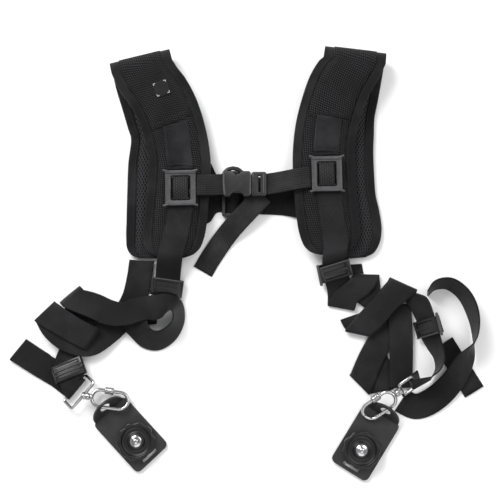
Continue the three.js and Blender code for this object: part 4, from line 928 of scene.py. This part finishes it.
# width of each moulded piece's rounded edges in millimetres, and its finish
bevels = dict(
    leftSlider=(0.5, "slider"), rightSlider=(0.5, "slider"), leftFrontLock=(0.7, "gloss"),
    rightFrontLock=(0.7, "gloss"), leftRingLock=(0.7, "gloss"), rightRingLock=(0.7, "gloss"),
    chestBuckleBody=(0.9, "plastic"), chestBucklePlug=(0.7, "plastic"), rearStrapAdjuster=(0.6, "plastic"),
)
for name, (width, finish) in bevels.items():
    softened(name, "moulded_plastic", finish, width)

sliderTop = padSurface + sizes["webThick"] / 2 + sizes["fit"] + 3
sliderPlaces = dict(left=(leftLay, 0.2, -0.672), right=(rightLay, -0.145, -0.64))
sliderShape = dict(turn=91, reach=12.4, bulge=2.9, wave=26, drop=2.4, tongueHalf=7.6, tongueThick=1.5,
                   hornRoot=(11.5, 16.2, 0.6), hornTip=(16.3, 17.6, 0.9), hornRadius=1.15, shadeLipRadius=0.7,
                   shadeLipDrop=1.2)
# near-black lips, painted shade, run down both sides of the window: sideways and ahead of its middle
shadeLipLine = [(7.6, 11.4), (8.2, 10.2), (9.8, 10.6), (9.8, -10.6), (8.2, -10.2), (7.6, -11.4)]
for side, (lay, x, y) in sliderPlaces.items():
    p = sliderShape
    middle = np.array([lay["x"] + x * sizes["padReach"], lay["y"] + y * sizes["padReach"], 0])
    ahead, sideways = across(p["turn"]), across(p["turn"] - 90)
    run = np.linspace(p["reach"], -p["reach"], 15)
    height = sliderTop - p["drop"] + p["bulge"] * np.cos(np.pi * run / p["wave"])
    centre = middle + run[:, None] * ahead + height[:, None] * [0, 0, 1]
    tongue = np.hstack([centre, np.tile([1, 0, p["tongueHalf"], 1], (len(run), 1))])
    strap(f"{side}SliderWebbing", tongue, "grosgrain", "ribbed", thick=p["tongueThick"])
    for k, (sx, sy) in enumerate([(1, 1), (1, -1), (-1, 1), (-1, -1)]):
        start, end = (middle + sideways * sx * a + ahead * sy * b + [0, 0, sliderTop + h]
                      for a, b, h in (p["hornRoot"], p["hornTip"]))
        rod(f"{side}SliderHorn{k}", [start, (start + end) / 2, end], p["hornRadius"], "slider", "moulded_plastic")
    # painted shade: near-black rods along the window's sides, a little below the slider's top
    for k, sx in enumerate((1, -1)):
        line = [middle + sideways * sx * a + ahead * b + [0, 0, sliderTop - p["shadeLipDrop"]] for a, b in shadeLipLine]
        rod(f"{side}SliderShadeLip{k}", line, p["shadeLipRadius"], "gloss", "moulded_plastic")


stations["leftRingRun"] = stationsOf(lies["leftEndRows"], leftSling)
# run that the lock sits on, its bars along the run and its cover's height; two locks show a light cheek at one side
lockTable = dict(
    leftFrontLock=("leftSlingFront", [-8.2], 2.3),
    rightFrontLock=("rightSlingFront", [-8.2], 2.3),
    leftRingLock=("leftRingRun", [-1.6, 2.4], 3.4),
    rightRingLock=("rightSlingCross", [7.8], 2.3),
)
cheeks = dict(rightFrontLock=-1, rightRingLock=1)
lockShape = dict(coverReach=6.6, coverHalf=12.6, coverThick=1.1, barReach=14.2, barHeight=4.3, barRadius=0.6,
                 cheekAt=16.2, cheekReach=10, cheekHeight=1.2, cheekRadius=1.5)


def lockPlace(name):
    # middle, across, along and up of the lock's run where its solid is nearest
    middle, u, n, length = frames(stations[lockTable[name][0]])
    low, high = (np.array(c) * 1000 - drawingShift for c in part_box(solidOf(name)))
    k = int(np.argmin(np.linalg.norm(middle - (low + high) / 2, axis=1)))
    along = middle[k + 1] - middle[k - 1]
    along /= np.linalg.norm(along)
    up = np.cross(along, u[k])
    return middle[k], u[k], along, up if up[2] >= 0 else -up


for name, (run, bars, coverHeight) in lockTable.items():
    middle, side, along, up = lockPlace(name)
    p = lockShape
    cover = [middle + along * y + up * coverHeight for y in np.linspace(-p["coverReach"], p["coverReach"], 9)]
    turn = math.degrees(math.atan2(side[1], side[0]))
    lean = math.degrees(math.asin(np.clip(side[2], -1, 1)))
    tablet = np.hstack([np.array(cover), np.tile([turn, lean, p["coverHalf"], 1], (9, 1))])
    strap(name + "Cover", tablet, "moulded_plastic", "gloss", thick=p["coverThick"])
    # a lone bar takes the lighter slider finish, a painted highlight along a glossy black bar; two bars stay glossy
    # black
    for k, y in enumerate(bars):
        bar = [middle + along * y + side * x + up * p["barHeight"]
               for x in np.linspace(-p["barReach"], p["barReach"], 5)]
        rod(f"{name}Bar{k}", bar, p["barRadius"], "slider" if len(bars) == 1 else "gloss", "moulded_plastic")
for name, way in cheeks.items():
    middle, side, along, up = lockPlace(name)
    outward = side * (way if side[0] >= 0 else -way)
    p = lockShape
    cheek = [middle + outward * p["cheekAt"] + along * y + up * p["cheekHeight"]
             for y in np.linspace(-p["cheekReach"], p["cheekReach"], 7)]
    rod(name + "Side", cheek, p["cheekRadius"], "slider", "moulded_plastic")

# light rims and the arched lug of the buckle, ribs on the plug
buckleTop = chestLay["floor"] + 0.87 * chestLay["pitch"] + 4.4
rims = dict(buckleLeftRim=([(-26.0, 74.5), (-26.2, 66), (-25.6, 58), (-25.0, 52.8)], buckleTop - 0.2, 1.1, "slider"),
            buckleRightRim=([(0.2, 74), (0.3, 66), (0.2, 58), (0.2, 53)], buckleTop - 0.3, 0.8, "slider"),
            buckleArch=([(-25, 75.4), (-22, 78.4), (-17, 79.6), (-12, 78.6), (-8.5, 75.8)], buckleTop - 4, 2.1,
                        "plastic"),
            plugRib0=([(4.0, 53.5), (4.0, 73.5)], buckleTop - 1.2, 0.7, "plastic"),
            plugRib1=([(6.2, 53.5), (6.2, 73.5)], buckleTop - 1.2, 0.7, "plastic"),
            plugRib2=([(13.4, 54.5), (13.4, 72.5)], buckleTop - 1.2, 0.7, "slider"))
for name, (line, height, radius, finish) in rims.items():
    line = np.array(line)
    fine = np.linspace(0, len(line) - 1, 3 * len(line))
    spots = [np.interp(fine, np.arange(len(line)), line[:, k]) for k in (0, 1)]
    rod(name, np.stack([*spots, height + 0 * fine], -1), radius, finish, "moulded_plastic")
# the strip's rolled end above each slider
rollShape = dict(ahead=(20.2, 23.6), reach=12.0, rise=0.75, radius=1.0)
for side, (lay, x, y) in sliderPlaces.items():
    p = rollShape
    middle, u, n, length = frames(stations[f"{side}PadWebbing"])
    for k, ahead in enumerate(p["ahead"]):
        rollY = lay["y"] + y * sizes["padReach"] + ahead
        at = int(np.argmin(np.abs(middle[:, 1] - rollY)))
        share = np.linspace(-1, 1, 15)
        spots = middle[at] + (share * p["reach"])[:, None] * u[at]
        spots[:, 2] += p["rise"] + 0.15 * np.cos(3 * share + k)
        spots[:, 1] += 0.7 * np.sin(2.4 * share + 2 * k) + rollY - middle[at, 1]
        rod(f"{side}StripRoll{k}", spots, p["radius"], "smooth", "grosgrain", sides=10)
print("moulded pieces made")


stitchSwell = np.array([0.45, 0.95, 1, 0.95, 0.45])


def sew(name, track, lines, heightOf, side, slot, pitch=3.4, dash=2.4, radius=0.3, finish="thread"):
    # Stitches as small rounded rods in one mesh. Each line is a list of (share across, length along); points on it
    # are middle + across * share * half + normal * height, and every stitch arches a little above them.
    path, middle, u, n, length = track
    half, thick = path[:, 5], path[:, 6]
    centres = []
    for line in lines:
        line = np.asarray(line, float)
        steps = np.maximum(np.abs(np.diff(line[:, 0])) * half.mean(), np.abs(np.diff(line[:, 1])))
        marks = np.concatenate([[0], np.cumsum(steps)])
        starts = np.arange(0.3, marks[-1] - dash, pitch)
        at = starts[:, None] + dash * np.linspace(0, 1, len(stitchSwell))[None]
        share, along = np.interp(at, marks, line[:, 0]), np.interp(at, marks, line[:, 1])
        normal = carried(n, length, along) * side
        arch = radius * (0.9 * np.sin(np.pi * (at - starts[:, None]) / dash) - 0.35)
        h = heightOf(share) * np.interp(along, length, thick) + arch
        spot = (carried(middle, length, along) + normal * h[..., None]
                + carried(u, length, along) * (share * np.interp(along, length, half))[..., None])
        centres.append((spot, normal))
    spot = np.concatenate([c[0] for c in centres])
    normal = np.concatenate([c[1] for c in centres])
    way = np.gradient(spot, axis=1)
    way /= np.linalg.norm(way, axis=2)[..., None]
    wide = np.cross(way, normal)
    swell = radius * stitchSwell[:, None, None]
    sides, sections = 6, len(stitchSwell)
    rings = circled(spot, swell, wide, normal, sides)
    one = gridQuads(sections, sides, sections - 1)
    first = sides * sections * np.arange(len(rings))
    quads = (one[None] + first[:, None, None]).reshape(-1, 4)
    ends = np.concatenate([np.arange(sides)[None] + first[:, None],
                           np.arange(sides * sections - 1, sides * (sections - 1) - 1, -1)[None] + first[:, None]])
    piece = meshPiece(name, toMetres(rings.reshape(-1, 3)), quads[:, ::-1].tolist() + ends.tolist())
    return wear(piece, "harness", slot, [finishes[finish]])


def trackOf(path):
    # stations with their middles, lines across, normals and lengths
    return (path, *frames(path))


padSeams = dict(tapeShare=0.76, start=4, end=3, backEnd=215, cordReach=0.7, cordRadius=0.65, cordSunk=0.1,
                seamReach=0.67, seamBehind=4.2, seamSlant=2.3)
for side, found in (("left", leftPad), ("right", rightPad)):
    pad, top = found[:5], found[5]
    p = padSeams
    edges, back = ([[(s, p["start"]), (s, end)] for s in (-p["tapeShare"], p["tapeShare"])]
                   for end in (pad[4][-1] - p["end"], p["backEnd"]))
    sew(f"{side}PadTapeStitches", pad, edges, padHeights, 1, "pad_cloth")
    sew(f"{side}PadBackStitches", pad, back, padHeights, -1, "pad_cloth")
    share = np.linspace(-p["cordReach"], p["cordReach"], 25)
    spot = [carried(values, pad[4], top - padShape["seamSlant"] * share) for values in pad[1:4]]
    half = pad[0][np.argmin(np.abs(pad[4] - top)), 5]
    height = padHeights(share) - p["cordSunk"]
    rod(f"{side}PadSeamCord", spot[0] + spot[1] * (share * half)[:, None] + spot[2] * height[:, None],
        p["cordRadius"], "tape", "pad_cloth", sides=8)
    seam = [[(way * p["seamReach"], top - p["seamBehind"] - way * p["seamSlant"]) for way in (-1, 1)]]
    sew(f"{side}PadSeamStitches", pad, seam, lambda share: padHeights(share) + padShape["panelStep"], 1, "pad_cloth")


def flat(height):
    # the same height at every share across
    return lambda share: height + 0 * share


webTop = sizes["webThick"] / 2


def seamsAcross(*places):
    # straight seam over four fifths of the width at each place along
    return [(-0.8, place, 0.8, place) for place in places]


def boxSeam(start, end):
    # rectangle of stitches with its two diagonals
    return seamsAcross(start, end) + [(-0.8, start, -0.8, end), (0.8, start, 0.8, end), (-0.8, start, 0.8, end),
                                      (0.8, start, -0.8, end)]


# share across and length along of each seam's ends; a length below 0 counts from the far end, below 1 is a share
stripSeam = [(-0.88, 3, -0.88, 0.98), (0.88, 3, 0.88, 0.98), (-0.8, 4, 0.8, 4)]
strapSeams = dict(
    leftPadWebbing=("grosgrain", stripSeam), rightPadWebbing=("grosgrain", stripSeam),
    leftSlingFront=("sling_webbing", boxSeam(8, 40)), rightSlingFront=("sling_webbing", boxSeam(20, 45)),
    chestStrapLeft=("grosgrain", seamsAcross(5, 8)), chestStrapRight=("grosgrain", seamsAcross(38, 41)),
    chestStrapTail=("grosgrain", seamsAcross(-5, -8) + [(-0.85, 2, -0.85, 32), (0.85, 2, 0.85, 32)]
                    + seamsAcross(10, 22)),
)
for name, (slot, seams) in strapSeams.items():
    track = trackOf(stations[name])
    total = track[4][-1]
    up = np.sign(track[3][len(track[3]) // 2][2])

    def at(v):
        return v * total if 0 < v < 1 else total + v if v < 0 else v

    sew(name + "Stitches", track, [[(a, at(b)), (c, at(d))] for a, b, c, d in seams], flat(webTop), up, slot,
        pitch=2.6, dash=1.9)

patchTrack = trackOf(stations["leftPadPatch"])
patchEnd = patchTrack[4][-1]
patchUp = np.sign(patchTrack[3][0][2])
patchEdge = [(-0.86, 1), (0.86, 1), (0.86, patchEnd - 1), (-0.86, patchEnd - 1), (-0.86, 1)]
sew("leftPadPatchStitches", patchTrack, [patchEdge], flat(0.4), patchUp, "patch_cloth", pitch=1.9, dash=1.5,
    radius=0.22)
corners = []
for sx in (-1, 1):
    for along, back in ((1.2, 3.2), (patchEnd - 1.2, patchEnd - 3.2)):
        corners.append([(sx * 0.52, along), (sx * 0.84, along), (sx * 0.84, back)])
sew("leftPadPatchCorners", patchTrack, corners, flat(0.42), patchUp, "patch_cloth", pitch=1.3, dash=1.25, radius=0.5,
    finish="bright")
print("stitches sewn")


floorReach = 6
floorPiece = meshPiece("paleFloor", floorReach * np.array([(-1, -1, 0), (1, -1, 0), (1, 1, 0), (-1, 1, 0)]),
                       [(0, 1, 2, 3)])
paper = Shop("palePaper", (0.93, 0.93, 0.93), 0.8, specular=0.2)
paperGrain = paper.noise(120, 2)
paper.feed("Roughness", 0.75 + 0.1 * paperGrain)
floorPiece.data.materials.append(paper.material)

studio = dict(world=0.5, lights=[((-0.8, 1.0, 1.3), 0.9, 30), ((1.1, 0.7, 1.5), 1.2, 12), ((0.1, -1.3, 1.6), 1.4, 8)])
world = bpy.data.worlds.new("studio")
world.use_nodes = True
world.node_tree.nodes["Background"].inputs[0].default_value = (1, 1, 1, 1)
world.node_tree.nodes["Background"].inputs[1].default_value = studio["world"]
bpy.context.scene.world = world
for k, (spot, size, power) in enumerate(studio["lights"]):
    lamp = bpy.data.lights.new(f"softbox{k}", "AREA")
    lamp.size, lamp.energy = size, power
    box = linked(f"softbox{k}", lamp)
    box.location = spot
    box.rotation_euler = Vector(spot).to_track_quat("Z", "Y").to_euler()

view = dict(elevation=83, lens=85, sensor=36, field=0.5)
aim = Vector(toMetres([0, 0, 0]))
aim.z = 0
distance = view["lens"] * view["field"] / view["sensor"]
tilt = math.radians(view["elevation"])
camera = linked("camera", bpy.data.cameras.new("camera"))
camera.data.lens, camera.data.sensor_width = view["lens"], view["sensor"]
camera.location = aim + Vector((0, -math.cos(tilt), math.sin(tilt))) * distance
camera.rotation_euler = (math.pi / 2 - tilt, 0, 0)
bpy.context.scene.camera = camera
bpy.context.scene.view_settings.view_transform = "Standard"

print("scene done")
